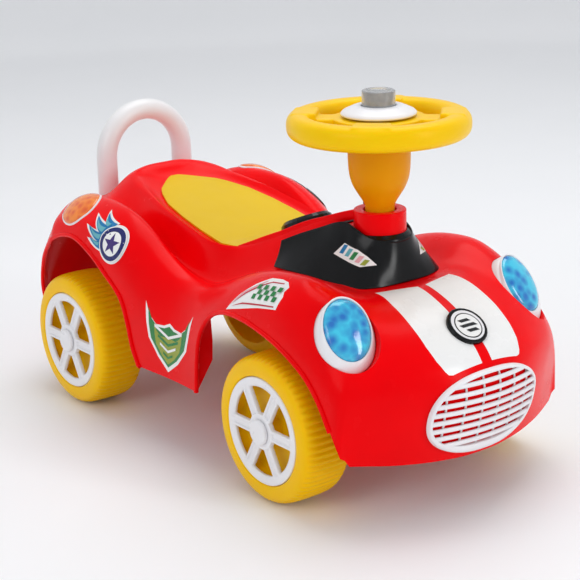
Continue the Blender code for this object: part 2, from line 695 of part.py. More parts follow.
def build_handle(frame):
    """White push handle: one tube bent to an arch, its legs standing in the rear deck."""
    curve = bpy.data.curves.new("push_handle", "CURVE")
    curve.dimensions = "3D"
    curve.bevel_depth = HANDLE_TUBE_R
    curve.bevel_resolution = 4
    curve.use_fill_caps = True
    arc = [(0, -HANDLE_HALF * math.cos(a), HANDLE_ARC_Z + HANDLE_HALF * math.sin(a))
           for a in [math.pi * k / HANDLE_STEPS for k in range(HANDLE_STEPS + 1)]]
    route = [(0, -HANDLE_HALF, HANDLE_FOOT), *arc, (0, HANDLE_HALF, HANDLE_FOOT)]
    spline = curve.splines.new("POLY")
    spline.points.add(len(route) - 1)
    for point, place in zip(spline.points, route, strict=True):
        point.co = (*place, 1.0)
    handle = add_object("push_handle", curve, None, frame, (HANDLE_X, 0, 0))
    curve.materials.append(white())
    return handle


def lamp_frame(frame, side):
    """An empty at the lamp's face, with its own Z pointing out of the lamp."""
    label = "l" if side > 0 else "r"
    item = add_empty(f"lamp_axis_{label}", (LAMP_X, side * LAMP_Y, LAMP_Z), frame)
    item.rotation_euler = (0, math.pi / 2 - LAMP_TILT, side * LAMP_TURN)
    return item


def inside_solid(grid, frame):
    """The space within the middle of the shell's wall, closed off level with its lowest edge."""
    bm = bmesh.new()
    rows = []
    for row, line in zip(grid, grid_normals(grid)):
        half = [p - n * WALL / 2 for p, n in zip(row, line)]
        mirrored = [Vector((p.x, -p.y, p.z)) for p in half[:0:-1]]
        rows.append([bm.verts.new(p) for p in mirrored + half])
    count = len(rows[0])
    for near, far in zip(rows, rows[1:]):
        for k in range(count):
            n = (k + 1) % count
            bm.faces.new((near[k], far[k], far[n], near[n]))
    bm.faces.new(rows[0])
    bm.faces.new(rows[-1])
    bmesh.ops.triangulate(bm, faces=bm.faces)
    return cutter("inside_space", close_mesh("inside_space", bm), frame)


def build_lamps(frame, grid, shell):
    """Round headlamps: a white cup in a moulded pocket, with a domed blue lens in it."""
    space = inside_solid(grid, frame)
    fit = LAMP_R + SEAT_GAP
    floor = -LAMP_DEEP - SEAT_GAP
    for side in (-1, 1):
        label = "l" if side > 0 else "r"
        seat = lamp_frame(frame, side)
        pocket = cutter(f"lamp_pocket_{label}", turned_mesh("lamp_pocket", plug_profile(
            fit + WALL, floor - WALL, LAMP_CLEAR), ROUND_STEPS), seat)
        cut(pocket, space, "INTERSECT")
        cut(shell, pocket, "UNION")
        cut(shell, cutter(f"lamp_hole_{label}", turned_mesh("lamp_hole", (
            (0, floor), (fit, floor), (fit, EDGE), (fit + LAMP_FLARE, LAMP_CLEAR + WALL),
            (0, LAMP_CLEAR + WALL)), ROUND_STEPS), seat))
        up = -LENS_RISE
        bore = LENS_R + SEAT_GAP
        cup = ((0, -LAMP_DEEP), (LAMP_R - 2 * EDGE, -LAMP_DEEP), (LAMP_R, 2 * EDGE - LAMP_DEEP),
               (LAMP_R, -EDGE), (LAMP_R - EDGE, 0), (bore + EDGE, LAMP_STAND, up),
               (bore, LAMP_STAND - EDGE, up), (bore, -LENS_SEAT, up), (0, -LENS_SEAT, up))
        smooth_round(add_object(f"headlamp_bezel_{label}", turned_mesh("bezel", cup, ROUND_STEPS),
                                white(), seat))
        low = SEAT_GAP - LENS_SEAT
        lens = ((0, low), (LENS_R, low), *[(LENS_R * out, z) for out, z in LENS_DOME])
        smooth_round(add_object(f"headlamp_lens_{label}", turned_mesh("lens", lens, ROUND_STEPS),
                                blue_lens(), seat, (up, 0, 0)), 60)


def build_tail_lights(frame, grid):
    """Orange almond lenses on the rear fenders, domed over the skin."""
    for side in (-1, 1):
        label = "l" if side > 0 else "r"
        centre = [TAIL_STATION, TAIL_RAIL]
        rings = []
        for ring in range(TAIL_RINGS + 1):
            share = 1 - ring / TAIL_RINGS
            line = []
            for step in range(TAIL_STEPS):
                a = 2 * math.pi * step / TAIL_STEPS
                u = TAIL_ALONG * share * math.cos(a)
                v = TAIL_ACROSS * share * math.sin(a) * (1 - TAIL_POINT * math.cos(a))
                line.append(skin_point(grid, centre[0] + u, centre[1] + v))
            rings.append(line)
        bm = bmesh.new()
        crown = skin_point(grid, *centre)
        low = [[bm.verts.new(p + Vector((0, 0, TAIL_LIFT))) for p in line] for line in rings[:-1]]
        low.append([bm.verts.new(crown + Vector((0, 0, TAIL_LIFT)))] * TAIL_STEPS)
        high = []
        for ring, line in enumerate(rings[:-1]):
            rise = TAIL_LIFT + TAIL_EDGE + TAIL_RISE * math.sin(ring / TAIL_RINGS * math.pi / 2)
            high.append([bm.verts.new(p + Vector((0, 0, rise))) for p in line])
        top = bm.verts.new(crown + Vector((0, 0, TAIL_LIFT + TAIL_EDGE + TAIL_RISE)))
        high.append([top] * TAIL_STEPS)
        for a, b in [*zip(low, low[1:]), *zip(high, high[1:]), (low[0], high[0])]:
            for k in range(TAIL_STEPS):
                n = (k + 1) % TAIL_STEPS
                bm.faces.new(dict.fromkeys((a[k], a[n], b[n], b[k])))
        if side < 0:
            bmesh.ops.transform(bm, matrix=Matrix.Scale(-1, 4, (0, 1, 0)), verts=bm.verts)
        lens = add_object(f"tail_light_{label}", close_mesh("tail_light", bm), orange_lens(),
                          frame)
        smooth_round(lens, 50)


def build_grille(frame, grid):
    """White oval grille bowed round the nose: one frame, slats across and bars behind them."""
    middle = (GRILLE_TOP_Z + GRILLE_FOOT_Z) / 2
    tall = (GRILLE_TOP_Z - GRILLE_FOOT_Z) / 2
    bm = bmesh.new()

    def nose_x(y, z):
        return nose_reach(grid, y, z) + GRILLE_STAND

    def oval(share, forward):
        line = []
        for k in range(GRILLE_STEPS):
            a = 2 * math.pi * k / GRILLE_STEPS
            c, s = math.cos(a), math.sin(a)
            y = (GRILLE_HALF - share) * math.copysign(abs(c) ** GRILLE_SQUARE, c)
            z = middle + (tall - share) * math.copysign(abs(s) ** GRILLE_SQUARE, s)
            line.append(bm.verts.new((nose_x(y, z) + forward, y, z)))
        return line

    rings = [oval(0, 0), oval(EDGE / 2, GRILLE_THICK), oval(GRILLE_BAND, GRILLE_THICK),
             oval(GRILLE_BAND, 0)]
    for a, b in zip(rings, rings[1:] + rings[:1]):
        for k in range(GRILLE_STEPS):
            n = (k + 1) % GRILLE_STEPS
            bm.faces.new((a[k], a[n], b[n], b[k]))
    grille = smooth_round(add_object("grille", close_mesh("grille", bm), white(), frame))

    def reach(offset, half_a, half_b):
        power = 2 / GRILLE_SQUARE
        return half_a * max(1 - abs(offset / half_b) ** power, 0) ** (1 / power)

    inner_half = GRILLE_HALF - GRILLE_BAND / 2
    inner_tall = tall - GRILLE_BAND / 2
    for n in range(SLATS):
        z = middle + inner_tall * 2 * ((n + 1) / (SLATS + 1) - 0.5)
        span = reach(z - middle, inner_half, inner_tall)
        path = [(nose_x(y, z), y, z) for y in (span * k / 3 for k in range(-3, 4))]
        add_bar(grille, f"slat_{n}", frame, path, SLAT_H, SLAT_SPAN, True)
    for n in range(BARS):
        y = inner_half * 2 * ((n + 1) / (BARS + 1) - 0.5)
        span = reach(y, inner_tall, inner_half)
        path = [(nose_x(y, z), y, z) for z in (middle + span * k / 2 for k in range(-2, 3))]
        add_bar(grille, f"bar_{n}", frame, path, BAR_W, BAR_SPAN, False)


def add_bar(grille, name, frame, path, width, span, level):
    """One slat or bar along a path, united with the grille."""
    back, front = (GRILLE_THICK * share for share in span)
    bm = bmesh.new()
    rings = []
    for x, y, z in path:
        dy, dz = (0, width / 2) if level else (width / 2, 0)
        rings.append([bm.verts.new((x + back, y - dy, z - dz)),
                      bm.verts.new((x + back, y + dy, z + dz)),
                      bm.verts.new((x + front, y + dy, z + dz)),
                      bm.verts.new((x + front, y - dy, z - dz))])
    for a, b in zip(rings, rings[1:]):
        for k in range(4):
            n = (k + 1) % 4
            bm.faces.new((a[k], a[n], b[n], b[k]))
    bm.faces.new(rings[0])
    bm.faces.new(rings[-1])
    cut(grille, cutter(name, close_mesh(name, bm), frame), "UNION")


def build_badge(frame, grid):
    """Round hood badge: a black dish with a white face plate."""
    x = max(point.x for point in skin_line(grid, 0)) - BADGE_BACK
    rise = skin_height(grid, x - BADGE_R / 2, 0) - skin_height(grid, x + BADGE_R / 2, 0)
    tilt = math.atan2(rise, BADGE_R)
    low = skin_height(grid, x, 0)
    place = (x + BADGE_STAND * math.sin(tilt), 0, low + BADGE_STAND * math.cos(tilt))
    seat = add_empty("badge_axis", place, frame)
    seat.rotation_euler = (0, tilt, 0)
    fit = BADGE_FACE_R + SEAT_GAP
    floor = BADGE_H - EDGE
    dish = ((0, 0), (BADGE_R, 0), (BADGE_R, floor), (BADGE_R - EDGE, BADGE_H), (fit, BADGE_H),
            (fit, floor), (0, floor))
    smooth_round(add_object("badge_dish", turned_mesh("badge_dish", dish, ROUND_STEPS), black(),
                            seat))
    face = ((0, floor + SEAT_GAP), (BADGE_FACE_R, floor + SEAT_GAP), (BADGE_FACE_R, BADGE_H),
            (0, BADGE_H + EDGE / 2))
    smooth_round(add_object("badge_face", turned_mesh("badge_face", face, ROUND_STEPS), white(),
                            seat))


def tyre_mesh():
    """Hollow-backed moulded wheel: round shoulders, a ribbed tread and a seat for the rim.

    Z is the axle's direction here, with 0 at the outer face and the inner face below it.
    """
    bm = bmesh.new()
    plain = RIB_COUNT // RIBS_PER_FACET

    def ring(radius, z):
        count = plain if radius > TYRE_BOSS_R else plain // 2
        return [bm.verts.new((radius * math.cos(2 * math.pi * k / count),
                              radius * math.sin(2 * math.pi * k / count), z))
                for k in range(count)]

    def bridge(a, b):
        if len(a) < len(b):
            a, b = b, a
        share = len(a) // len(b)
        for k in range(len(b)):
            n = (k + 1) % len(b)
            line = [a[(share * k + j) % len(a)] for j in range(share + 1)]
            for j in range(share):
                far = [b[k]] if j < share - 1 else [b[n], b[k]]
                bm.faces.new((line[j], line[j + 1], *far))

    def ribs(z):
        pitch = 2 * math.pi / RIB_COUNT
        line = []
        for k in range(RIB_COUNT):
            middle = k * pitch + pitch / 2
            for turn, radius in ((-0.5, WHEEL_R - RIB_DEPTH), (-0.25, WHEEL_R), (0.25, WHEEL_R)):
                a = middle + turn * pitch
                radius = radius if turn == -0.5 else radius / math.cos(pitch / 4)
                line.append(bm.verts.new((radius * math.cos(a), radius * math.sin(a), z)))
        return line

    depth = TYRE_WIDTH
    ledge = -RIM_THICK - RIM_FALL - SEAT_GAP
    boss = RIM_DISH - RIM_THICK - SEAT_GAP
    back = WHEEL_R - TYRE_BACK_BAND
    inside = [(AXLE_R + RUN_GAP, -depth + BOSS_SINK), (TYRE_BOSS_R, -depth + BOSS_SINK),
              (TYRE_BOSS_R, -TYRE_WEB - TYRE_WALL), (back, -TYRE_WEB - TYRE_WALL),
              (back + TYRE_BACK_DRAFT, -depth), (WHEEL_R - TYRE_ROUND, TYRE_ROUND - depth)]
    seat = (RIM_R + SEAT_GAP) / math.cos(math.pi / plain)
    outside = [(WHEEL_R - TYRE_ROUND, -TYRE_ROUND), (WHEEL_R - TYRE_CHEEK, 0.0),
               (seat, 0.0), (seat, ledge), (RIM_R - RIM_LEDGE, ledge),
               (RIM_R - RIM_LEDGE - EDGE, -TYRE_WEB), (TYRE_BOSS_R, -TYRE_WEB),
               (TYRE_BOSS_R, boss), (AXLE_R + RUN_GAP, boss)]
    first = [ring(r, z) for r, z in inside]
    last = [ring(r, z) for r, z in outside]
    tread = [ribs(TYRE_SHOULDER - depth), ribs(-TYRE_SHOULDER)]
    for a, b in [*zip(first, first[1:]), *zip(last, last[1:]), (last[-1], first[0])]:
        bridge(a, b)
    for k in range(len(tread[0])):
        n = (k + 1) % len(tread[0])
        bm.faces.new((tread[0][k], tread[0][n], tread[1][n], tread[1][k]))
    for plain_ring, ribbed in ((first[-1], tread[0]), (last[0], tread[1])):
        share = len(ribbed) // plain
        turn = (share + 1) // 2
        for k in range(plain):
            near, far = plain_ring[k], plain_ring[(k + 1) % plain]
            fan = [ribbed[(share * k + j) % len(ribbed)] for j in range(share + 1)]
            for j in range(share):
                bm.faces.new((near if j < turn else far, fan[j], fan[j + 1]))
            bm.faces.new((near, fan[turn], far))
    half_rib = Matrix.Rotation(math.pi / RIB_COUNT, 3, "Z")
    bmesh.ops.rotate(bm, verts=bm.verts, matrix=half_rib)
    return close_mesh("tyre", bm)


def rim_mesh():
    """Six-spoked rim as one plate with six windows, dished a little towards the hub."""
    bm = bmesh.new()
    window_r = RIM_R - RIM_BAND
    sector = 2 * math.pi / SPOKES
    near = math.asin(SPOKE_W / 2 / HUB_R)
    far = math.asin(SPOKE_W / 2 / window_r)
    outer, window, hub, bore = [], [], [], []
    for n in range(SPOKES):
        for k in range(WINDOW_ARCS + 1):
            a = n * sector + far + (sector - 2 * far) * k / WINDOW_ARCS
            outer.append(bm.verts.new((RIM_R * math.cos(a), RIM_R * math.sin(a), 0)))
            window.append(bm.verts.new((window_r * math.cos(a), window_r * math.sin(a),
                                        -RIM_FALL)))
        for k in range(HUB_ARCS + 1):
            a = n * sector + near + (sector - 2 * near) * k / HUB_ARCS
            hub.append(bm.verts.new((HUB_R * math.cos(a), HUB_R * math.sin(a), RIM_DISH)))
            bore.append(bm.verts.new(((AXLE_R + RUN_GAP) * math.cos(a),
                                      (AXLE_R + RUN_GAP) * math.sin(a), RIM_DISH)))
    count = len(outer)
    faces = [bm.faces.new((outer[k], outer[(k + 1) % count], window[(k + 1) % count], window[k]))
             for k in range(count)]
    faces += [bm.faces.new((hub[k], hub[(k + 1) % len(hub)], bore[(k + 1) % len(hub)], bore[k]))
              for k in range(len(hub))]
    for n in range(SPOKES):
        a = (n * (WINDOW_ARCS + 1) + WINDOW_ARCS) % count
        b = (a + 1) % count
        c = (n * (HUB_ARCS + 1) + HUB_ARCS) % len(hub)
        d = (c + 1) % len(hub)
        faces.append(bm.faces.new((window[a], window[b], hub[d], hub[c])))
    bmesh.ops.recalc_face_normals(bm, faces=bm.faces)
    grown = bmesh.ops.extrude_face_region(bm, geom=faces)
    moved = [v for v in grown["geom"] if isinstance(v, bmesh.types.BMVert)]
    bmesh.ops.translate(bm, verts=moved, vec=(0, 0, -RIM_THICK))
    return close_mesh("rim", bm)


def axle_ends(frame, steering):
    """Each axle's name, what carries it, and its distance along from that."""
    return ("front", steering, FRONT_X - STEER_X), ("rear", frame, REAR_X)


def build_wheels(frame, steering):
    """Four alike wheels, each turning on its axle about its own empty."""
    tyre = tyre_mesh()
    rim = rim_mesh()
    top = RIM_DISH + HUB_CAP_H
    cap = turned_mesh("hub_cap", (
        (0, RIM_DISH + SEAT_GAP), (HUB_CAP_R, RIM_DISH + SEAT_GAP), (HUB_CAP_R, top - 2 * EDGE),
        (HUB_CAP_R * HUB_CAP_ROUND, top - EDGE / 2), (0, top)), PIN_STEPS)
    for end, carrier, x in axle_ends(frame, steering):
        for side in (-1, 1):
            label = f"{end}_{'l' if side > 0 else 'r'}"
            axis = add_empty(f"wheel_axis_{label}", (x, side * WHEEL_FACE_Y, WHEEL_R), carrier)
            axis.rotation_euler = (-side * math.pi / 2, 0, 0)
            smooth_round(add_object(f"tyre_{label}", tyre, yellow(), axis), 25)
            smooth_round(add_object(f"rim_{label}", rim, white(), axis))
            smooth_round(add_object(f"hub_cap_{label}", cap, white(), axis))


def build_axles(frame, steering):
    """Steel axles, their washers, and the rear carrier with its screws."""
    reach = WHEEL_FACE_Y + RIM_DISH - EDGE
    inner = WHEEL_FACE_Y - TYRE_WIDTH + BOSS_SINK
    rod = turned_mesh("axle", rod_profile(AXLE_R, -reach, reach), PIN_STEPS, "Y")
    half = WASHER_H / 2
    washer = turned_mesh("washer", ((AXLE_R + SEAT_GAP, -half), (WASHER_R, -half),
                                    (WASHER_R, half), (AXLE_R + SEAT_GAP, half)),
                         PIN_STEPS, "Y")
    for end, carrier, x in axle_ends(frame, steering):
        smooth_round(add_object(f"{end}_axle", rod, steel(), carrier, (x, 0, WHEEL_R)))
        for side in (-1, 1):
            place = (x, side * (inner - RUN_GAP - half), WHEEL_R)
            label = "l" if side > 0 else "r"
            add_object(f"axle_washer_{end}_{label}", washer, steel(), carrier, place)
    beam_half = inner - 2 * RUN_GAP - WASHER_H
    beam = tube_profile(BEAM_R, AXLE_R + RUN_GAP, -beam_half, beam_half)
    carrier = add_object("rear_axle_carrier", turned_mesh("beam", beam, PIN_STEPS, "Y"), black(),
                         frame, (REAR_X, 0, WHEEL_R))
    plate_z = POST_FOOT - SEAT_GAP - PLATE_H - WHEEL_R
    x, y = POST_X + PLATE_EDGE, POST_Y + PLATE_EDGE
    plate = prism_mesh("plate", [(-x, -y), (x, -y), (x, y), (-x, y)], plate_z, plate_z + PLATE_H)
    cut(carrier, cutter("carrier_plate", plate, frame, (REAR_X, 0, WHEEL_R)), "UNION")
    web_half = POST_X - 2 * SCREW_HEAD_R
    web_top = plate_z + EDGE
    arch = AXLE_R + WEB_ARCH
    for side in (-1, 1):
        web = prism_mesh("web", [(-WEB_FOOT, 0.0), (-web_half, web_top), (web_half, web_top),
                                 (WEB_FOOT, 0.0), (arch, 0.0), (arch, arch), (-arch, arch),
                                 (-arch, 0.0)],
                         side * POST_Y - WEB_T / 2, side * POST_Y + WEB_T / 2, "Y")
        cut(carrier, cutter(f"carrier_web_{side}", web, frame, (REAR_X, 0, WHEEL_R)), "UNION")
    hole = turned_mesh("hole", plug_profile(SCREW_R + SEAT_GAP, plate_z - CUT_SPARE,
                                            plate_z + CUT_SPARE), SCREW_STEPS)
    tip = plate_z + PLATE_H + SCREW_IN - EDGE / 2
    screw = turned_mesh("carrier_screw", (
        (0, plate_z - SCREW_HEAD_H), (SCREW_HEAD_R, plate_z - SCREW_HEAD_H),
        (SCREW_HEAD_R, plate_z - SEAT_GAP), (SCREW_R, plate_z - SEAT_GAP),
        (SCREW_R, tip - EDGE / 2), (0, tip)), SCREW_STEPS)
    for end, x in (("rear", REAR_X - POST_X), ("front", REAR_X + POST_X)):
        for side in (-1, 1):
            label = f"{end}_{'l' if side > 0 else 'r'}"
            place = (x, side * POST_Y, WHEEL_R)
            cut(carrier, cutter(f"carrier_hole_{label}", hole, frame, place))
            add_object(f"carrier_screw_{label}", screw, steel(), frame, place)
    return beam


def build_steering(axis, beam):
    """Everything that turns with the steering wheel, on one upright axis."""
    yoke_top = COLLAR_FOOT - 2 * SEAT_GAP - WASHER_H
    yoke = add_object("front_yoke", turned_mesh("yoke_beam", beam, PIN_STEPS, "Y"), black(), axis,
                      (0, 0, WHEEL_R))
    mast_foot = (AXLE_R + RUN_GAP + BEAM_R) / 2
    mast = turned_mesh("mast", plug_profile(GUIDE_R, mast_foot, yoke_top - WHEEL_R), PIN_STEPS)
    cut(yoke, cutter("yoke_mast", mast, axis, (0, 0, WHEEL_R)), "UNION")
    rod_fit = ROD_R + SEAT_GAP
    socket = turned_mesh("rod_socket", plug_profile(rod_fit, ROD_FOOT - SEAT_GAP, COLLAR_TOP),
                         PIN_STEPS)
    cut(yoke, cutter("rod_socket", socket, axis))
    ring = tube_profile(GUIDE_R, rod_fit, yoke_top + SEAT_GAP, yoke_top + SEAT_GAP + WASHER_H,
                        EDGE / 2)
    add_object("thrust_washer", turned_mesh("thrust_washer", ring, PIN_STEPS), steel(), axis)
    rod = turned_mesh("steering_rod", rod_profile(ROD_R, ROD_FOOT, ROD_TOP), PIN_STEPS)
    smooth_round(add_object("steering_rod", rod, steel(), axis))
    build_column(axis, rod_fit)
    build_steering_wheel(axis, rod_fit)
    dome = ((BUTTON_BORE, DOME_Z), (DOME_R - EDGE, DOME_Z), (DOME_R, DOME_Z + 2 * EDGE),
            (DOME_R - DOME_SHOULDER, DOME_Z + DOME_SHOULDER), (DOME_R - DOME_CROWN, DOME_Z + DOME_H),
            (BUTTON_BORE, DOME_Z + DOME_H))
    smooth_round(add_object("wheel_boss_dome", turned_mesh("dome", dome, ROUND_STEPS), white(),
                            axis), 50)
    cup_r = BUTTON_R - BUTTON_WALL
    button = ((0, DOME_Z), (BUTTON_R, DOME_Z), (BUTTON_R, BUTTON_TOP - EDGE),
              (BUTTON_R - EDGE, BUTTON_TOP), (cup_r, BUTTON_TOP),
              (cup_r - EDGE, BUTTON_TOP - BUTTON_CUP), (0, BUTTON_TOP - BUTTON_CUP))
    press = add_empty("button_axis", (0, 0, 0), axis)
    smooth_round(add_object("horn_button", turned_mesh("horn_button", button, ROUND_STEPS),
                            plastic("smoky_clear_acrylic", (0.35, 0.36, 0.36), 0.1), press))


def build_column(axis, rod_fit):
    """Goblet-shaped column round the rod, hollow above its floor, with the screw at its neck."""
    neck = COLUMN_NECK_R
    neck_z = COLLAR_TOP + COLUMN_NECK_RISE
    rise = COLUMN_TOP_Z - neck_z
    bowl = [(neck + (COLUMN_TOP_R - neck) * out, neck_z + rise * up) for up, out in COLUMN_BOWL]
    hollow = [(radius - COLUMN_WALL, z) for radius, z in bowl[:1:-1]]
    floor = neck_z + rise * COLUMN_FLOOR
    column = ((rod_fit, COLUMN_FOOT_Z), (neck - EDGE, COLUMN_FOOT_Z),
              (neck, COLUMN_FOOT_Z + 2 * EDGE), (neck, neck_z), *bowl,
              (COLUMN_TOP_R, COLUMN_TOP_Z), (COLUMN_TOP_R - COLUMN_WALL, COLUMN_TOP_Z), *hollow,
              (rod_fit + COLUMN_WALL, floor), (rod_fit, floor))
    smooth_round(add_object("steering_column", turned_mesh("steering_column", column, ROUND_STEPS),
                            yellow(), axis))
    screw = ((0, 0), (SCREW_HEAD_R, 0), (SCREW_HEAD_R, SCREW_HEAD_H), (0, SCREW_HEAD_H + EDGE / 2))
    head = add_object("column_screw", turned_mesh("column_screw", screw, POST_STEPS), steel(), axis)
    turn = math.radians(COLUMN_SCREW_TURN)
    out = neck + SEAT_GAP
    head.location = (out * math.cos(turn), out * math.sin(turn), COLLAR_TOP + COLUMN_SCREW_RISE)
    head.rotation_euler = (0, math.pi / 2, turn)


def build_steering_wheel(axis, rod_fit):
    """Yellow wheel: a fat rim, four spokes between the car's axes, and a dished hub."""
    rim = []
    for k in range(RIM_SIDES):
        a = 2 * math.pi * k / RIM_SIDES
        c, s = math.cos(a), math.sin(a)
        rim.append((WHEEL_RIM_R + WHEEL_TUBE_R * math.copysign(abs(c) ** WHEEL_SQUARE, c),
                    WHEEL_Z + WHEEL_TUBE_H * math.copysign(abs(s) ** WHEEL_SQUARE, s)))
    wheel = add_object("steering_wheel", turned_mesh("steering_wheel", rim, WHEEL_STEPS),
                       yellow(), axis)
    foot_r = COLUMN_TOP_R + WHEEL_HUB_LIP
    top = DOME_Z - SEAT_GAP
    hub = ((rod_fit, WHEEL_HUB_Z), (foot_r, WHEEL_HUB_Z),
           (foot_r + 2 * EDGE, WHEEL_HUB_Z + WHEEL_HUB_LIP), (DOME_R + WHEEL_HUB_RIM, top),
           (BUTTON_BORE, top), (BUTTON_BORE, BUTTON_WELL_Z), (rod_fit, BUTTON_WELL_Z))
    cut(wheel, cutter("wheel_hub", turned_mesh("wheel_hub", hub, ROUND_STEPS), axis), "UNION")
    inner = DOME_R - WHEEL_HUB_LIP
    outer = WHEEL_RIM_R - WHEEL_TUBE_R / 3
    half = WHEEL_SPOKE_W / 2
    wide = half + WHEEL_SPOKE_FLARE
    for n in range(WHEEL_SPOKES):
        bar = prism_mesh("spoke", [(inner, -half), (outer, -wide), (outer, wide), (inner, half)],
                         WHEEL_Z - WHEEL_SPOKE_H / 2, WHEEL_Z + WHEEL_SPOKE_H / 2)
        spoke = cutter(f"wheel_spoke_{n}", bar, axis)
        spoke.rotation_euler = (0, 0, math.pi * (2 * n + 1) / WHEEL_SPOKES)
        cut(wheel, spoke, "UNION")
    smooth_round(wheel, 40)


def main():
    clear_scene()
    frame = add_empty("car_frame", (-CENTRE_X, 0, 0))
    grid = body_grid()
    shell = build_body(frame, grid)
    build_seat(frame, grid)
    build_dash(frame, grid)
    build_windscreen(frame)
    build_handle(frame)
    build_lamps(frame, grid, shell)
    build_tail_lights(frame, grid)
    build_grille(frame, grid)
    build_badge(frame, grid)
    steering = add_empty("steering_axis", (STEER_X, 0, 0), frame)
    build_wheels(frame, steering)
    beam = build_axles(frame, steering)
    build_steering(steering, beam)


main()
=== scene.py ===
# %% [markdown]
# # A ride-on push car for a small child
# The solids of the car come packed, as a frame of named nodes that ride on moving bodies. This
# lesson dresses them: smooth shells over the faceted ones, rounded mouldings, printed stickers and
# plastics that look like plastics. Every length is in metres, and the car stands on the floor at
# height 0.

# %% Load the frame
import math

import bmesh
import bpy
import numpy as np
from mathutils import Matrix, Vector
from mathutils.bvhtree import BVHTree


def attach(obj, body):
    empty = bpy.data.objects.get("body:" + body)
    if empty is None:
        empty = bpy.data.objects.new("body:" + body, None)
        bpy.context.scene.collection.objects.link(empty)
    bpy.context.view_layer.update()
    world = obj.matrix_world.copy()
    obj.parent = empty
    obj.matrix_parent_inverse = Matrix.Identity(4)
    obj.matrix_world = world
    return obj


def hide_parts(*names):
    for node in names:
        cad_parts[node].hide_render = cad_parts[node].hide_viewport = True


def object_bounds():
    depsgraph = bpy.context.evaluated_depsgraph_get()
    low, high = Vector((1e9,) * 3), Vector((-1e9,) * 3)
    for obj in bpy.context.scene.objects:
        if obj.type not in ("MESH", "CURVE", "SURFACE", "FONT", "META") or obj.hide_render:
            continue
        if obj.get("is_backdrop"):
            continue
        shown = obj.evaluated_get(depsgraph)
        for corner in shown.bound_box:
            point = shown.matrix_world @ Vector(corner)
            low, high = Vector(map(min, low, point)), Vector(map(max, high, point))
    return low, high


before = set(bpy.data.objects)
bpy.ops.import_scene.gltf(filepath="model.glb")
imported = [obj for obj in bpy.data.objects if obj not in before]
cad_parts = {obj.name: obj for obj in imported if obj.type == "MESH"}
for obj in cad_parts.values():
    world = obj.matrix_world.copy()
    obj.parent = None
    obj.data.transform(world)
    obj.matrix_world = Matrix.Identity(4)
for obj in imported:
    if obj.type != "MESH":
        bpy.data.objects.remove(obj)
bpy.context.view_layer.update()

# %% [markdown]
# ## Where things are measured from
# The car was measured from the middle of its wheelbase, while the frame has its origin under the
# middle of the box. So each piece is made about the wheelbase, and one step at the end moves its
# mesh over. The object itself stays at the origin, unturned, so that patterns on Object
# coordinates never slide. Small helpers add an object, work its modifiers in, and name the piece
# with its body.

# %% Making a piece
CENTRE_X = 0.0235            # the middle of the box, from the middle of the wheelbase
TO_FRAME = Matrix.Translation((-CENTRE_X, 0, 0))


def mesh_of(name, points, faces):
    """A mesh with its doubles merged and its faces turned outwards."""
    bm = bmesh.new()
    verts = [bm.verts.new(p) for p in points]
    for face in faces:
        corners = list(dict.fromkeys(face))
        if len(corners) > 2:
            bm.faces.new([verts[k] for k in corners])
    bmesh.ops.remove_doubles(bm, verts=bm.verts, dist=1e-6)
    bmesh.ops.recalc_face_normals(bm, faces=bm.faces)
    mesh = bpy.data.meshes.new(name)
    bm.to_mesh(mesh)
    bm.free()
    return mesh


def add_object(name, data):
    """An object with this mesh, curve, lamp or camera, linked into the scene."""
    item = bpy.data.objects.new(name, data)
    bpy.context.scene.collection.objects.link(item)
    return item


def settled(host, *tools):
    """The host's mesh with its modifiers worked in; the host and its tools are removed."""
    graph = bpy.context.evaluated_depsgraph_get()
    made = bpy.data.meshes.new_from_object(host.evaluated_get(graph))
    for item in (host, *tools):
        bpy.data.objects.remove(item, do_unlink=True)
    return made


def show(name, mesh, material, body, slot, *nodes, place=None, sharp=38):
    """Place a piece's mesh and let it ride on its body, in the stead of the nodes.

    Edges that turn by more than sharp degrees stay sharp in the shading.
    """
    if place is not None:
        mesh.transform(place)
    mesh.transform(TO_FRAME)
    mesh.name = name
    if not mesh.materials:
        mesh.materials.append(material)
    mesh.shade_smooth()
    mesh.set_sharp_from_angle(angle=math.radians(sharp))
    piece = add_object(name, mesh)
    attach(piece, body)
    if nodes:
        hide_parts(*nodes)


def sides():
    """Left and right, as a sign and the letter that node names end in."""
    return (1, "l"), (-1, "r")


def angles(steps):
    """Angles round a circle, in equal steps."""
    return [2 * math.pi * k / steps for k in range(steps)]


# %% [markdown]
# ## The camera
# The view was solved from the wheels, lamps and steering wheel of the photograph, whose sizes are
# known from the model. A long lens from over a metre and a half away keeps the car's lines almost
# parallel.

# %% Camera
PHOTO_PIXELS = 580
FOCAL_PIXELS = 1660.18
SENSOR = 36.0
EYE = Vector((1.40417, -1.02269, 0.67450))
YAW, PITCH, ROLL = (math.radians(v) for v in (143.285, -16.9795, -1.6696))

ahead = Vector((math.cos(PITCH) * math.cos(YAW), math.cos(PITCH) * math.sin(YAW),
                math.sin(PITCH)))
level = Vector((math.sin(YAW), -math.cos(YAW), 0))
upward = level.cross(ahead)
across_view = level * math.cos(ROLL) + upward * math.sin(ROLL)
up_view = -level * math.sin(ROLL) + upward * math.cos(ROLL)
turn = Matrix((across_view, up_view, -ahead)).transposed().to_4x4()

lens = bpy.data.cameras.new("camera")
lens.lens = FOCAL_PIXELS / PHOTO_PIXELS * SENSOR
lens.sensor_width = SENSOR
lens.clip_start, lens.clip_end = 0.05, 50
camera = add_object("camera", lens)
camera.matrix_world = TO_FRAME @ Matrix.Translation(EYE) @ turn
bpy.context.scene.camera = camera
# The plain transform keeps the reds and yellows of pigmented plastic as strong as they are
bpy.context.scene.view_settings.view_transform = "Standard"
print("lens", round(lens.lens, 1), "mm")

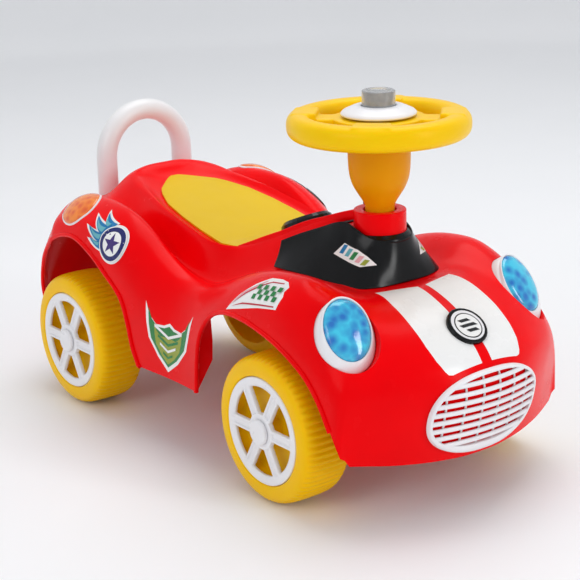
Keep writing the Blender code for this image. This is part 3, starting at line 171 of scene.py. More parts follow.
# %% [markdown]
# ## Materials
# A Principled shader with one flat colour looks like paint on a screen. Real moulded plastic has a
# slow drift of tone, a fine unevenness of its gloss, and a faint waviness left by the mould. One
# small function adds a node with its settings and links, and everything else is written with it.

# %% Node helper and colours


def linear(code):
    """An sRGB hex colour as linear red, green, blue and alpha."""
    parts = [int(code[k:k + 2], 16) / 255 for k in (1, 3, 5)]
    return (*[c / 12.92 if c <= 0.04045 else ((c + 0.055) / 1.055) ** 2.4 for c in parts], 1.0)


def add_node(tree, kind, inputs=None, **settings):
    """Add a node, set its properties, and set or link its inputs.

    A node given as an input stands for its first output.
    """
    node = tree.nodes.new(kind)
    for name, value in settings.items():
        setattr(node, name, value)
    for key, value in (inputs or {}).items():
        if isinstance(value, bpy.types.Node):
            value = value.outputs[0]
        if isinstance(value, bpy.types.NodeSocket):
            tree.links.new(value, node.inputs[key])
        else:
            node.inputs[key].default_value = value
    return node


def start_material(name, **constants):
    """A material with its Principled shader, on whose sockets the constants are set."""
    made = bpy.data.materials.new(name)
    made.use_nodes = True
    tree = made.node_tree
    shader = tree.nodes["Principled BSDF"]
    for key, value in constants.items():
        shader.inputs[key.replace("_", " ").title().replace("Ior", "IOR")].default_value = value
    place = add_node(tree, "ShaderNodeTexCoord").outputs["Object"]
    return made, tree, shader, place


def finish(tree, shader, colour, bump=None, rough=None):
    """Link what a material's patterns give to its shader."""
    tree.links.new(colour, shader.inputs["Base Color"])
    if bump:
        tree.links.new(bump.outputs["Normal"], shader.inputs["Normal"])
    if rough:
        tree.links.new(rough, shader.inputs["Roughness"])


def moulded(name, tone, drift, gloss, grain=0.0006, relief=0.05, drift_mm=60, **constants):
    """Moulded plastic: drifting tone, roughness between the two of gloss, and a fine grain."""
    made, tree, shader, place = start_material(name, **constants)
    slow = add_node(tree, "ShaderNodeTexNoise", {
        "Vector": place, "Scale": 1000 / drift_mm, "Detail": 3.0})
    colour = add_node(tree, "ShaderNodeMix", {
        "Factor": slow, "A": linear(tone), "B": linear(drift)}, data_type="RGBA")
    wipe = add_node(tree, "ShaderNodeTexNoise", {"Vector": place, "Scale": 45.0, "Detail": 6.0})
    rough = add_node(tree, "ShaderNodeMapRange", {
        "Value": wipe, "From Min": 0.3, "From Max": 0.7,
        "To Min": gloss[0], "To Max": gloss[1]})
    skin = add_node(tree, "ShaderNodeTexNoise", {
        "Vector": place, "Scale": 1 / grain, "Detail": 2.0})
    bump = add_node(tree, "ShaderNodeBump", {
        "Height": skin, "Strength": relief, "Distance": grain / 3})
    finish(tree, shader, colour.outputs["Result"], bump, rough.outputs[0])
    return made


# %% The plastics and the metal
# Body: injection-moulded polypropylene, pigmented a strong red. Its gloss is soft and takes on the
# pigment, so that the highlights turn pink instead of washing the red out.
RED = moulded("red_polypropylene", "#FB0008", "#E80007", (0.20, 0.28), 0.0030, 0.05,
              specular_ior_level=0.15, specular_tint=(1.0, 0.28, 0.28, 1.0),
              coat_weight=0.03, coat_roughness=0.12)
# Wheels: blow-moulded polyethylene, waxy and a little see-through, so shade turns it orange.
WHEEL_YELLOW = moulded("yellow_polyethylene_wheel", "#FFCB00", "#F8BC00", (0.34, 0.46), 0.0012,
                       0.10, subsurface_weight=0.25, subsurface_scale=0.004,
                       specular_ior_level=0.30, specular_tint=(1.0, 0.80, 0.30, 1.0))
# Steering wheel: the same plastic in a brighter lemon tone.
STEER_YELLOW = moulded("yellow_polyethylene_steering", "#FFD000", "#F8C400", (0.30, 0.42),
                       0.0012, 0.08, subsurface_weight=0.15, subsurface_scale=0.004,
                       specular_ior_level=0.30, specular_tint=(1.0, 0.85, 0.35, 1.0))
# Seat: flat polypropylene with a fine leathery grain, which keeps a child from sliding.
SEAT_YELLOW = moulded("yellow_grained_seat", "#E8C20E", "#DFB80A", (0.36, 0.44), 0.0016, 0.22,
                      specular_ior_level=0.25, specular_tint=(1.0, 0.85, 0.40, 1.0))
# Column: amber polyethylene, thin enough for light to soak into it.
AMBER = moulded("amber_polyethylene", "#EFA000", "#E09000", (0.38, 0.46), 0.0012, 0.08,
                subsurface_weight=0.35, subsurface_scale=0.008,
                specular_ior_level=0.30, specular_tint=(1.0, 0.75, 0.25, 1.0))
# Trim: white polypropylene with a cool cast.
WHITE = moulded("white_polypropylene", "#F2F1F3", "#E8E7EA", (0.26, 0.34), 0.0012, 0.06,
                subsurface_weight=0.1, subsurface_scale=0.003, subsurface_radius=(1.0, 1.0, 1.0))
# Handle: the same white in a thicker, waxier blow-moulded tube.
HANDLE_WHITE = moulded("white_polyethylene_handle", "#EDECEC", "#E4E2E2", (0.30, 0.38), 0.0016,
                       0.06, subsurface_weight=0.1, subsurface_scale=0.004,
                       subsurface_radius=(1.0, 1.0, 1.0))
# Windscreen and dash: high-gloss black polystyrene.
BLACK = moulded("black_polystyrene", "#050607", "#090A0C", (0.15, 0.22), 0.0025, 0.03,
                specular_ior_level=0.24, coat_weight=0.03, coat_roughness=0.16)
# Running gear: plain black polypropylene straight from the mould.
DULL_BLACK = moulded("black_polypropylene", "#141416", "#1B1B1D", (0.42, 0.55), 0.0008, 0.2)
# Axles and screws: zinc-plated steel, slightly brushed.
ZINC = moulded("zinc_plated_steel", "#B9BABD", "#A3A5AA", (0.24, 0.38), 0.0008, 0.15, 8,
               metallic=1.0)
print("materials", len(bpy.data.materials))

# %% [markdown]
# ## The moulded body
# The shell is one thin red moulding. It could be sculpted, or subdivided from a few faces, but
# then the heights that were measured would drift. So it is lofted: 25 cross-sections from tail to
# nose, each with nine heights from the middle line out to the hem. A smooth curve runs through
# each set, first across and then along, and the result is a fine net of points. The net is evened
# a little, because a mould has no ripples.

# %% Cross-sections of half the body
TRAIL_Y = 0.14               # the outer side trails the middle line fully at this width
CORNER_Y = 0.112             # beyond this the tail's corner turns forward
TAIL_CORNERS = (45, 45, 22, 10)
WALL = 0.003
# In millimetres: x on the middle line, how far the outer side trails it, and then y and z in turn
# of each height, from the middle line out to the hem
STATIONS = (
    (-300, 8, 0, 85, 28, 85, 50, 85, 66, 85, 81, 85, 102, 86, 124, 92, 138, 100, 144, 104),
    (-304, 10, 0, 125, 28, 125, 50, 125, 66, 125, 81, 125, 102, 125, 126, 124, 141, 118, 147, 108),
    (-302, 28, 0, 170, 28, 170, 50, 169, 66, 167, 81, 166, 102, 165, 127, 160, 143, 142, 149, 104),
    (-290, 36, 0, 203, 28, 203, 50, 201, 66, 198, 81, 196, 102, 195, 127, 184, 144, 160, 150, 97),
    (-262, 30, 0, 220, 28, 220, 50, 218, 66, 214, 81, 211, 102, 216, 127, 206, 145, 178, 150, 90),
    (-235, 11, 0, 231, 26, 230, 48, 227, 66, 221, 81, 217, 102, 226, 128, 215, 146, 186, 150, 78),
    (-207, 0, 0, 256, 26, 255, 49, 248, 65, 235, 81, 223, 102, 233, 128, 221, 146, 192, 150, 78),
    (-186, 0, 0, 240, 24, 241, 53, 249, 68, 236, 82, 222, 102, 236, 128, 224, 146, 195, 150, 78),
    (-155, 0, 0, 235.5, 43.5, 235.5, 60.5, 243.5, 72, 229, 84, 217, 102, 237, 128, 226, 146, 197,
     150, 78),
    (-115, 0, 0, 228.5, 56.5, 228.5, 69.5, 236.5, 78, 217, 86, 206, 102, 233.5, 128, 223, 145.5,
     193, 149, 78),
    (-78, 0, 0, 222, 62.2, 222, 74.5, 229.5, 81, 206, 88, 194, 102, 220.5, 127, 211, 143.5, 180,
     147, 78),
    (-40, 0, 0, 215, 65, 215, 77, 222, 82, 195, 89, 182, 102, 197.5, 124, 190, 140, 155, 144.5,
     77.5),
    (0, 0, 0, 207.8, 65.5, 207.8, 76.5, 214.5, 81.5, 189, 88, 176, 102, 180, 121, 172, 137, 135,
     142, 77.5),
    (35, 0, 0, 206, 54, 206, 64, 215, 77, 190, 87, 177, 102, 181, 121, 172, 137, 136, 142, 77.5),
    (70, 0, 0, 219.5, 43, 219.5, 51, 230, 69, 202, 81, 189, 102, 193, 123, 184, 140, 150, 144,
     77.5),
    (105, 0, 0, 236, 32, 236, 39.5, 246, 60, 213, 74, 202, 102, 207.5, 125, 197, 142, 165, 146,
     77.5),
    (145, 0, 0, 252, 21.5, 252, 28.5, 261, 52, 218, 68, 208, 102, 219.5, 126, 209, 143.5, 176,
     148, 77.5),
    (182, 0, 0, 240, 18, 239, 29, 234, 48, 214, 64, 206.5, 102, 224, 127, 213, 144, 180, 148,
     77.5),
    (212, 0, 0, 204.5, 20, 204.5, 36, 204.5, 52, 204.5, 68, 208.5, 102, 222.5, 127, 210, 144, 176,
     148, 77.5),
    (250, 4, 0, 205, 21, 205, 40, 204.5, 58, 203.5, 76, 205, 103, 208, 127, 194, 143, 160, 147,
     77),
    (295, 13, 0, 188, 21, 187.5, 41, 187, 60, 185, 80, 182, 104, 176, 126, 162, 141, 136, 145, 75),
    (333, 42, 0, 159, 21, 159, 41, 158, 60, 156, 80, 153, 103, 148, 124, 140, 138, 120, 142, 74),
    (345, 55, 0, 130, 21, 130, 41, 130, 60, 129, 80, 127, 101, 124, 121, 119, 134, 104, 139, 72),
    (340, 52, 0, 100, 21, 100, 41, 100, 60, 100, 80, 99, 99, 97, 118, 93, 131, 84, 136, 70),
    (329, 42, 0, 58, 21, 58, 41, 59, 60, 60, 80, 61.5, 98, 63, 115, 65, 126, 66, 132, 66.5),
)
STEPS_ALONG = 8
STEPS_ACROSS = (8, 5, 5, 5, 6, 7, 9, 22)
EVEN_PASSES = 6
NORMAL_PASSES = 14


def smooth_line(points, steps, first=None):
    """A Catmull-Rom line through points; steps is one number or one for each stretch."""
    points = [np.array(p, float) for p in points]
    counts = [steps] * (len(points) - 1) if isinstance(steps, int) else list(steps)
    before = 2 * points[0] - points[1] if first is None else np.array(first, float)
    padded = [before, *points, 2 * points[-1] - points[-2]]
    line = []
    for k, count in enumerate(counts):
        a, b, c, d = padded[k:k + 4]
        for t in np.arange(count) / count:
            line.append(0.5 * (2 * b + (c - a) * t + (2 * a - 5 * b + 4 * c - d) * t * t
                               + (3 * b - a - 3 * c + d) * t ** 3))
    return np.array([*line, points[-1]])


def body_net():
    """Points of the half skin, as rows across for each step along."""
    across = []
    for n, station in enumerate(STATIONS):
        x, trail, *heights = (v / 1000 for v in station)
        side = 1 if x > 0 else -1
        bend = TAIL_CORNERS[n] if n < len(TAIL_CORNERS) else 0
        row = [(x - side * trail * (y / TRAIL_Y) ** 2 + bend * max(0, y - CORNER_Y) ** 2, y, z)
               for y, z in zip(heights[::2], heights[1::2])]
        mirrored = (row[1][0], -row[1][1], row[1][2])
        across.append(smooth_line(row, STEPS_ACROSS, mirrored))
    across = np.array(across)
    return np.stack([smooth_line(line, STEPS_ALONG) for line in across.swapaxes(0, 1)], 1)


# %% Evening the net, and its normals


def with_mirror(net):
    """The net with one more line on each side: its mirror inside, its own edges elsewhere."""
    inner = net[:, 1:2] * np.array((1, -1, 1))
    wide = np.concatenate([inner, net, net[:, -1:]], 1)
    return np.concatenate([wide[:1], wide, wide[-1:]], 0)


def neighbours(net):
    """The sum of each point's four neighbours."""
    wide = with_mirror(net)
    return wide[:-2, 1:-1] + wide[2:, 1:-1] + wide[1:-1, :-2] + wide[1:-1, 2:]


def even(net):
    """Each inner point drawn towards the mean of its neighbours."""
    fresh = net + 0.5 * (neighbours(net) / 4 - net)
    fresh[0], fresh[-1], fresh[:, -1] = net[0], net[-1], net[:, -1]
    fresh[:, 0, 1] = 0
    return fresh


def net_normals(net):
    """Outward unit normals of a half net, evened so that the inner wall runs smoothly."""
    wide = with_mirror(net)
    normals = np.cross(wide[2:, 1:-1] - wide[:-2, 1:-1], wide[1:-1, 2:] - wide[1:-1, :-2])
    normals /= np.linalg.norm(normals, axis=2, keepdims=True)
    for _ in range(NORMAL_PASSES):
        normals = normals * 2 + neighbours(normals)
        normals /= np.linalg.norm(normals, axis=2, keepdims=True)
    return normals


def whole(net):
    """The half net and its mirror image as one net from hem to hem."""
    return np.concatenate([(net * np.array((1, -1, 1)))[:, :0:-1], net], 1)


half_net = body_net()
for _ in range(EVEN_PASSES):
    half_net = even(half_net)
outer, core, inner = (whole(half_net - net_normals(half_net) * WALL * share)
                      for share in (0, 0.5, 1))
rows, columns = outer.shape[:2]
print("body net", rows, "x", columns)

# %% [markdown]
# ## Wall, wheel openings and lamp holes
# The inner wall is a second net, one wall thickness inside the first, and a strip round the edge
# joins the two: a Solidify would fold where the skin turns tightly. The openings are then cut with
# a Boolean, by prisms drawn from the side for the wheels and by oval cylinders on the lamps' axes,
# as a mould maker would cut them. A plug inside each lamp hole gives it a floor. The skirts turn
# inwards behind the front wheels, where two plates close them.

# %% Wheel openings and lamps, as measured from the photograph
WHEEL_FACE_Y = 0.1535
ARCH_INNER_Y, ARCH_SPARE = 0.116, 0.02
REAR_ARCH = ((-0.291, .060), (-0.283, .105), (-0.262, .150), (-0.222, .186), (-0.178, .198),
             (-0.138, .188), (-0.105, .169), (-0.079, .149), (-0.067, .122), (-0.060, .097),
             (-0.050, .078), (-0.047, .060))
FRONT_ARCH = ((0.058, .060), (0.060, .110), (0.066, .142), (0.082, .164), (0.106, .1745),
              (0.135, .1775), (0.165, .1755), (0.204, .1665), (0.241, .1485), (0.264, .127),
              (0.281, .100), (0.290, .080), (0.293, .060))
LAMP = Vector((0.2685, 0.1113, 0.1840))
LAMP_R = 0.0372
LAMP_OVAL = 0.75             # a lamp's width over its height
LAMP_TURN, LAMP_TILT = math.radians(16.0), math.radians(33.0)
here = Matrix.Identity(4)


def lamp_place(side):
    """The lamp's own frame: Z points out of it."""
    spin = (Matrix.Rotation(side * LAMP_TURN, 4, "Z")
            @ Matrix.Rotation(math.pi / 2 - LAMP_TILT, 4, "Y"))
    squeeze = Matrix.Diagonal((1, LAMP_OVAL, 1, 1))
    return Matrix.Translation((LAMP.x, side * LAMP.y, LAMP.z)) @ spin @ squeeze


# %% Solids from nets, outlines and profiles
ON_AXIS = 1e-6               # a point nearer to the axis than this lies on it
ALL_SMOOTH = 180             # the angle at which no edge stays sharp


def net_faces(rows, columns, base=0, closed=False, looped=False):
    """Quads of a net stored row by row, its columns closed or its rows looped to the first."""
    steps = [(base + i * columns, base + (i + 1) % rows * columns)
             for i in range(rows if looped else rows - 1)]
    return [(a + k, b + k, b + (k + 1) % columns, a + (k + 1) % columns)
            for a, b in steps for k in range(columns if closed else columns - 1)]


def prism(outline, low, high):
    """A solid between two side planes, from an outline of (x, z) points."""
    count = len(outline)
    points = [(x, y, z) for y in (low, high) for x, z in outline]
    walls = [(k, (k + 1) % count, count + (k + 1) % count, count + k) for k in range(count)]
    return points, [*walls, tuple(range(count)), tuple(range(count, 2 * count))]


def is_ring(profile):
    """Whether a profile stays clear of its axis, and so closes on itself."""
    return all(point[0] > ON_AXIS for point in profile)


def turned(profile, steps):
    """A profile of (radius, height) turned about Z; a third value shifts a ring along X."""
    points = [(radius * math.cos(a) + sum(shift), radius * math.sin(a), height)
              for radius, height, *shift in profile for a in angles(steps)]
    return points, net_faces(len(profile), steps, closed=True, looped=is_ring(profile))


def placed(name, solid, place):
    """A mesh from (points, faces), moved to its place."""
    mesh = mesh_of(name, *solid)
    mesh.transform(place)
    return mesh


def combine(target, meshes, operation):
    """Combine a mesh with closed meshes, one Boolean after another, and return the new mesh."""
    host = add_object("host", target)
    tools = [add_object(f"tool_{n}", mesh) for n, mesh in enumerate(meshes)]
    for tool in tools:
        step = host.modifiers.new(tool.name, "BOOLEAN")
        step.object, step.operation, step.solver = tool, operation, "EXACT"
    return settled(host, *tools)


def surface(mesh, place=here):
    """A mesh as a surface on which rays can be cast."""
    return BVHTree.FromPolygons([tuple(place @ v.co) for v in mesh.vertices],
                                [tuple(p.vertices) for p in mesh.polygons])


# %% Shell with its openings
LAMP_FIT = LAMP_R + 0.0004   # the hole round a lamp
LAMP_SCOOP = 0.058           # how far in front of the lamp the skin is scooped away
HOLE_FOOT, HOLE_MOUTH, HOLE_FLARE = -0.020, 0.0005, 0.0035
POCKET_R, POCKET_FOOT, POCKET_TOP = LAMP_FIT + 0.0060, -0.023, LAMP_SCOOP - WALL


def shell_mesh():
    """The outer and the inner net, joined by a strip round their edge."""
    count = rows * columns
    rim = [*range(columns), *(i * columns + columns - 1 for i in range(1, rows)),
           *((rows - 1) * columns + k for k in range(columns - 2, -1, -1)),
           *(i * columns for i in range(rows - 2, 0, -1))]
    faces = net_faces(rows, columns) + net_faces(rows, columns, count)
    faces += [(a, b, b + count, a + count) for a, b in zip(rim, rim[1:] + rim[:1])]
    return mesh_of("body_skin", [*outer.reshape(-1, 3), *inner.reshape(-1, 3)], faces)


ends = [tuple(range(columns)), tuple((rows - 1) * columns + k for k in range(columns))]
inside = mesh_of("inside", [tuple(p) for p in core.reshape(-1, 3)],
                 net_faces(rows, columns, closed=True) + ends)
pocket = ((0, POCKET_FOOT), (POCKET_R, POCKET_FOOT), (POCKET_R, POCKET_TOP), (0, POCKET_TOP))
hole = ((0, HOLE_FOOT), (LAMP_FIT, HOLE_FOOT), (LAMP_FIT, HOLE_MOUTH),
        (LAMP_FIT + HOLE_FLARE, LAMP_SCOOP), (0, LAMP_SCOOP))
pockets, openings = [], []
for side, letter in sides():
    for outline in (REAR_ARCH, FRONT_ARCH):
        line = [tuple(p) for p in smooth_line(outline, 6)]
        low, high = sorted((side * ARCH_INNER_Y, side * (WHEEL_FACE_Y + ARCH_SPARE)))
        openings.append(placed("opening", prism(line, low, high), here))
    openings.append(placed("hole", turned(hole, 96), lamp_place(side)))
    plug = placed("pocket", turned(pocket, 96), lamp_place(side))
    pockets.append(combine(plug, [inside.copy()], "INTERSECT"))
skin = combine(combine(shell_mesh(), pockets, "UNION"), openings, "DIFFERENCE")
show("body_skin", skin, RED, "body", "red_plastic", "body_shell", sharp=42)
skin_tree = surface(skin)
print("body skin", len(skin.polygons), "faces")

# %% Inward flanges at the skirts' front edges
FLANGE_YZ = ((0.1400, 0.0800), (0.1392, 0.1150), (0.1362, 0.1350), (0.1300, 0.1530),
             (0.1215, 0.1600), (0.1200, 0.1300), (0.1210, 0.1080))
FLANGE_X = (0.0552, 0.0582)
for side, letter in sides():
    points, faces = prism([(side * y, z) for y, z in FLANGE_YZ], *FLANGE_X)
    plate = mesh_of("flange", [(x, y, z) for y, x, z in points], faces)
    show(f"skirt_flange_{letter}", plate, RED, "body", "red_plastic")
print("skirt flanges made")

# %% [markdown]
# ## Rounded corners on turned pieces
# Lamps, hubs, the column and the knobs are all turned shapes. A drawn profile has hard corners,
# which a mould can't make and which catch no light. A Bevel would round every edge of the finished
# mesh alike, so this helper rounds the profile itself before it is turned.

# %% Corner rounding


def soften(profile, radius, steps=4):
    """Each corner of an open or ring profile replaced by a short curve."""
    points = [Vector(p) for p in profile]
    line = []
    for k, corner in enumerate(points):
        if not is_ring(points) and k in (0, len(points) - 1):
            line.append(corner)
            continue
        before, after = points[k - 1] - corner, points[(k + 1) % len(points)] - corner
        reach = min(radius, 0.45 * before.length, 0.45 * after.length)
        a, c = corner + before.normalized() * reach, corner + after.normalized() * reach
        for t in (n / steps for n in range(steps + 1)):
            line.append(a * (1 - t) ** 2 + corner * 2 * t * (1 - t) + c * t * t)
    return [(p.x, p.y) for p in line]


def squared(value, power):
    """A sine or cosine bent so that the oval it draws has flatter sides."""
    return math.copysign(abs(value) ** power, value)


def squared_round(radius, half_w, half_h, middle, steps, power=0.8):
    """A (radius, height) ring with flattened sides."""
    return [(radius + half_w * squared(math.cos(a), power),
             middle + half_h * squared(math.sin(a), power)) for a in angles(steps)]


def turned_mesh(name, profile, steps=64, radius=0.0008):
    return mesh_of(name, *turned(soften(profile, radius), steps))


# %% [markdown]
# ## Headlamps
# Each lamp is a white cone with the blue lens set high in it, so that the ring is thicker below.
# The lens has a pattern pressed into its back, which breaks up the light: here a Voronoi pattern
# bumps the dome and paints pale and deep patches into its tint, which are painted glints that
# stand in for the light that the pattern and a reflector would throw back, so no second piece is
# needed behind it. Tinted polystyrene bends light at an IOR of about 1.59.

# %% Lamp materials and pieces
LENS_R = 0.0302
LENS_RISE = 0.0048           # the lens lies this much above the ring's middle


def tinted(name, pale, deep, cell_mm, **constants):
    """Clear tinted polystyrene with a pressed pattern bumped into its back and painted glints in
    its tint.
    """
    made, tree, shader, place = start_material(name, **constants)
    cells = add_node(tree, "ShaderNodeTexVoronoi", {"Vector": place, "Scale": 1000 / cell_mm})
    cloud = add_node(tree, "ShaderNodeTexNoise", {"Vector": place, "Scale": 70.0, "Detail": 2.0})
    mixed = add_node(tree, "ShaderNodeMath", {0: cells, 1: cloud}, operation="MULTIPLY")
    # The pale share of the colour is painted glints, the light that the pressed pattern and a
    # reflector would throw back; only the bump is the pattern itself.
    painted_glint_share = add_node(tree, "ShaderNodeMapRange", {
        "Value": mixed, "From Min": 0.08, "From Max": 0.40})
    colour = add_node(tree, "ShaderNodeMix", {
        "Factor": painted_glint_share, "A": linear(deep), "B": linear(pale)}, data_type="RGBA")
    bump = add_node(tree, "ShaderNodeBump", {
        "Height": cells, "Strength": 0.25, "Distance": 0.0006})
    finish(tree, shader, colour.outputs["Result"], bump)
    return made


# Lamp lenses: clear polystyrene tinted sky blue, and the tail lights' in orange, both mottled with
# painted glints
BLUE_LENS = tinted("blue_tinted_polystyrene", "#38D2F4", "#0074CC", 10, roughness=0.10, ior=1.59,
                   transmission_weight=0.10, coat_weight=0.5, coat_roughness=0.04)
ORANGE_LENS = tinted("orange_tinted_polystyrene", "#FF8C1E", "#EA5A08", 8, roughness=0.12,
                     ior=1.59, transmission_weight=0.05, coat_weight=0.4, coat_roughness=0.06)


# %% Headlamps
LENS_FOOT, LENS_EDGE, LENS_CROWN = -0.006, 0.0028, 0.0070
# The ring's inner edge lies round the raised lens, so the last points are shifted with it
BEZEL = ((LAMP_R - 0.001, -0.016), (LAMP_R, -0.014), (LAMP_R, -0.0025),
         (LAMP_R - 0.0008, -0.0008), (LAMP_R - 0.0022, 0.0001),
         (LENS_R + 0.0024, 0.0036, -LENS_RISE), (LENS_R + 0.0012, 0.0040, -LENS_RISE),
         (LENS_R + 0.0004, 0.0034, -LENS_RISE), (LENS_R + 0.0003, -0.010, -LENS_RISE))
dome = [(LENS_R * math.sin(a), LENS_EDGE + LENS_CROWN * math.cos(a))
        for a in (math.pi / 2 * k / 12 for k in range(13))]
dome += [(LENS_R, LENS_FOOT), (0, LENS_FOOT)]
for side, letter in sides():
    place = lamp_place(side)
    show(f"lamp_ring_{letter}", mesh_of("bezel", *turned(BEZEL, 72)), WHITE, "body",
         "white_plastic", f"headlamp_bezel_{letter}", place=place)
    show(f"lamp_lens_{letter}", mesh_of("lens", *turned(dome, 64)), BLUE_LENS, "body", "blue_lens",
         f"headlamp_lens_{letter}", place=place @ Matrix.Translation((-LENS_RISE, 0, 0)), sharp=60)
print("lamps made")

# %% [markdown]
# ## Windscreen, dash and collar
# The black cover wraps round the hump below the steering collar, from one rear corner round to the
# other. Two smooth edges are drawn and the face is spanned between them, a little hollow, which is
# what draws the long reflections. A Solidify and a Bevel give it its wall and its soft edge.

# %% Windscreen
SCREEN_TOP = ((.0950, .0535, .2303), (.115, .0440, .2400), (.139, .0350, .2500),
              (.156, .0310, .2570), (.169, .0285, .2590), (.184, .0285, .2550),
              (.199, .0255, .2490), (.2095, .0165, .2465), (.2135, 0, .2460))
SCREEN_FOOT = ((.0985, .0665, .2055), (.120, .0690, .2075), (.150, .0680, .2085),
               (.176, .0630, .2070), (.194, .0590, .2055), (.2110, .0520, .2040),
               (.2190, .0340, .2035), (.2215, .0160, .2035), (.2220, 0, .2035))
SCREEN_STEPS, SCREEN_ROWS = 8, 14
SCREEN_MIDDLE_X = 0.12       # the face turns about a line here
SCREEN_BULGE, SCREEN_LIFT = -0.0012, 0.0014
SCREEN_WALL, SCREEN_BEVEL = 0.0022, 0.0007


def half_edge(points):
    """A smooth line through an edge's points that crosses the middle squarely."""
    x, y, z = points[-2]
    return smooth_line([*points, (x, -y, z)], SCREEN_STEPS)[:-SCREEN_STEPS]


def screen_net():
    """Columns from the upper to the lower edge, drawn in between them, right side and left."""
    half = []
    for upper, lower in zip(half_edge(SCREEN_TOP), half_edge(SCREEN_FOOT)):
        outward = Vector(((upper[0] + lower[0]) / 2 - SCREEN_MIDDLE_X, upper[1] + lower[1], 0))
        outward.normalize()
        half.append([Vector(upper).lerp(Vector(lower), t)
                     + outward * (SCREEN_BULGE * math.sin(math.pi * t) + SCREEN_LIFT)
                     for t in (row / SCREEN_ROWS for row in range(SCREEN_ROWS + 1))])
    return half + [[Vector((p.x, -p.y, p.z)) for p in column] for column in half[-2::-1]]


net = screen_net()
holder = add_object("holder", mesh_of("screen", [p for column in net for p in column],
                                      net_faces(len(net), SCREEN_ROWS + 1)))
wall = holder.modifiers.new("wall", "SOLIDIFY")
wall.thickness, wall.offset = SCREEN_WALL, 0.0
edge = holder.modifiers.new("edge", "BEVEL")
edge.width, edge.segments, edge.limit_method = SCREEN_BEVEL, 3, "ANGLE"
screen = settled(holder)
show("screen_cover", screen, BLACK, "body", "black_plastic", "windscreen")
screen_tree = surface(screen)
print("windscreen", len(screen.polygons), "faces")

# %% Flange, dash cheeks and collar
STEER_X = 0.185
COLLAR_R, COLLAR_BORE, COLLAR_FOOT, COLLAR_TOP = 0.0262, 0.0165, 0.215, 0.2710
on_axis = Matrix.Translation((STEER_X, 0, 0))
# A soft flange of the cover runs round the collar's foot and catches a pale line of light
FLANGE = [(COLLAR_R + out, z) for out, z in (
    (0.0004, 0.2420), (0.0004, 0.2500), (0.0016, 0.2500), (0.0034, 0.2482), (0.0054, 0.2462),
    (0.0060, 0.2440), (0.0040, 0.2415))]
show("screen_flange", turned_mesh("flange", FLANGE, 72, 0.0012), BLACK, "body", "black_plastic",
     place=on_axis, sharp=50)

# Two red plates run from the seat's shoulders up to the collar and hold the dash between them
PLATE_PATH = ((.030, .0620, .2085), (.045, .0585, .2150), (.065, .0530, .2240),
              (.087, .0460, .2335), (.112, .0380, .2455), (.137, .0300, .2545),
              (.155, .0240, .2610), (.168, .0180, .2650))
section = squared_round(0, 0.0021, 0.0052, 0, 20, 0.45)
for side, letter in sides():
    path = smooth_line([(x, side * y, z) for x, y, z in PLATE_PATH], 6)
    points = [(x, y + a, z + b) for x, y, z in path for a, b in section]
    ends = [tuple(range(len(section))), tuple(len(points) - 1 - k for k in range(len(section)))]
    plate = mesh_of("cheek", points, net_faces(len(path), len(section), closed=True) + ends)
    show(f"dash_cheek_{letter}", plate, RED, "body", "red_plastic", sharp=50)

collar = turned_mesh("collar", ((COLLAR_BORE, COLLAR_FOOT), (COLLAR_R, COLLAR_FOOT),
                                (COLLAR_R, COLLAR_TOP), (COLLAR_BORE, COLLAR_TOP)), 72, 0.0016)
show("collar_ring", collar, RED, "body", "red_plastic", place=on_axis)
print("cheeks and collar made")

# %% [markdown]
# ## Steering column, wheel, dome and button
# The column is a goblet on a short neck, the dome and the button are turned as well, and the
# button is clear acrylic over a dark cup. The wheel is one blow-moulded piece, whose rim, spokes
# and hub flow into each other. Joining simple solids and remeshing them at just over a millimetre
# gives exactly that: every inner corner gets a soft fillet.

# %% Goblet, dome and button
GOBLET = ((0.0053, 0.240), (0.0135, 0.240), (0.0145, 0.242), (0.0145, 0.2735), (0.0155, 0.2768),
          (0.0177, 0.2808), (0.0218, 0.2872), (0.0251, 0.2925), (0.0276, 0.2980), (0.0293, 0.3040),
          (0.0303, 0.3105), (0.0309, 0.3210), (0.0310, 0.3376), (0.0285, 0.3376), (0.0285, 0.3200),
          (0.0250, 0.3050), (0.0078, 0.2960), (0.0053, 0.2960))
show("column_goblet", turned_mesh("goblet", GOBLET, 72, 0.003), AMBER, "steering",
     "yellow_plastic", "steering_column", place=on_axis, sharp=50)
DOME = ((0.0172, 0.3650), (0.0365, 0.3650), (0.0375, 0.3668), (0.0352, 0.3692), (0.0300, 0.3716),
        (0.0245, 0.3740), (0.0200, 0.3745), (0.0172, 0.3745))
show("boss_dome", turned_mesh("dome", DOME, 96, 0.0012), WHITE, "steering", "white_plastic",
     "wheel_boss_dome", place=on_axis, sharp=50)


def clear_plastic(name, tint, **constants):
    """Clear acrylic with faint swirls in it."""
    made, tree, shader, place = start_material(name, **constants)
    swirl = add_node(tree, "ShaderNodeTexNoise", {"Vector": place, "Scale": 120.0, "Detail": 3.0})
    colour = add_node(tree, "ShaderNodeMix", {
        "Factor": swirl, "A": linear(tint), "B": linear("#FFFFFF")}, data_type="RGBA")
    finish(tree, shader, colour.outputs["Result"])
    return made


SMOKY = clear_plastic("smoky_clear_acrylic", "#B9BDC0", roughness=0.10, ior=1.49,
                      transmission_weight=0.60, coat_weight=0.4)
BUTTON = ((0, 0.3650), (0.0165, 0.3650), (0.0165, 0.3882), (0.0157, 0.3890), (0.0125, 0.3890),
          (0.0112, 0.3876), (0, 0.3870))
show("button_case", turned_mesh("button", BUTTON, 64, 0.0006), SMOKY, "horn", "smoky_plastic",
     "horn_button", place=on_axis)
CUP = ((0, 0.3672), (0.0070, 0.3672), (0.0104, 0.3862), (0.0088, 0.3862), (0.0062, 0.3700),
       (0, 0.3700))
show("button_cup", turned_mesh("cup", CUP, 48, 0.0004), DULL_BLACK, "horn", "smoky_plastic",
     place=on_axis)
print("steering pieces made")

# %% Steering wheel
RIM_R, TUBE_R, TUBE_H, WHEEL_Z = 0.0785, 0.0120, 0.0125, 0.3560
WHEEL_HUB = ((0, 0.3380), (0.0350, 0.3380), (0.0400, 0.3420), (0.0460, 0.3630), (0, 0.3640))
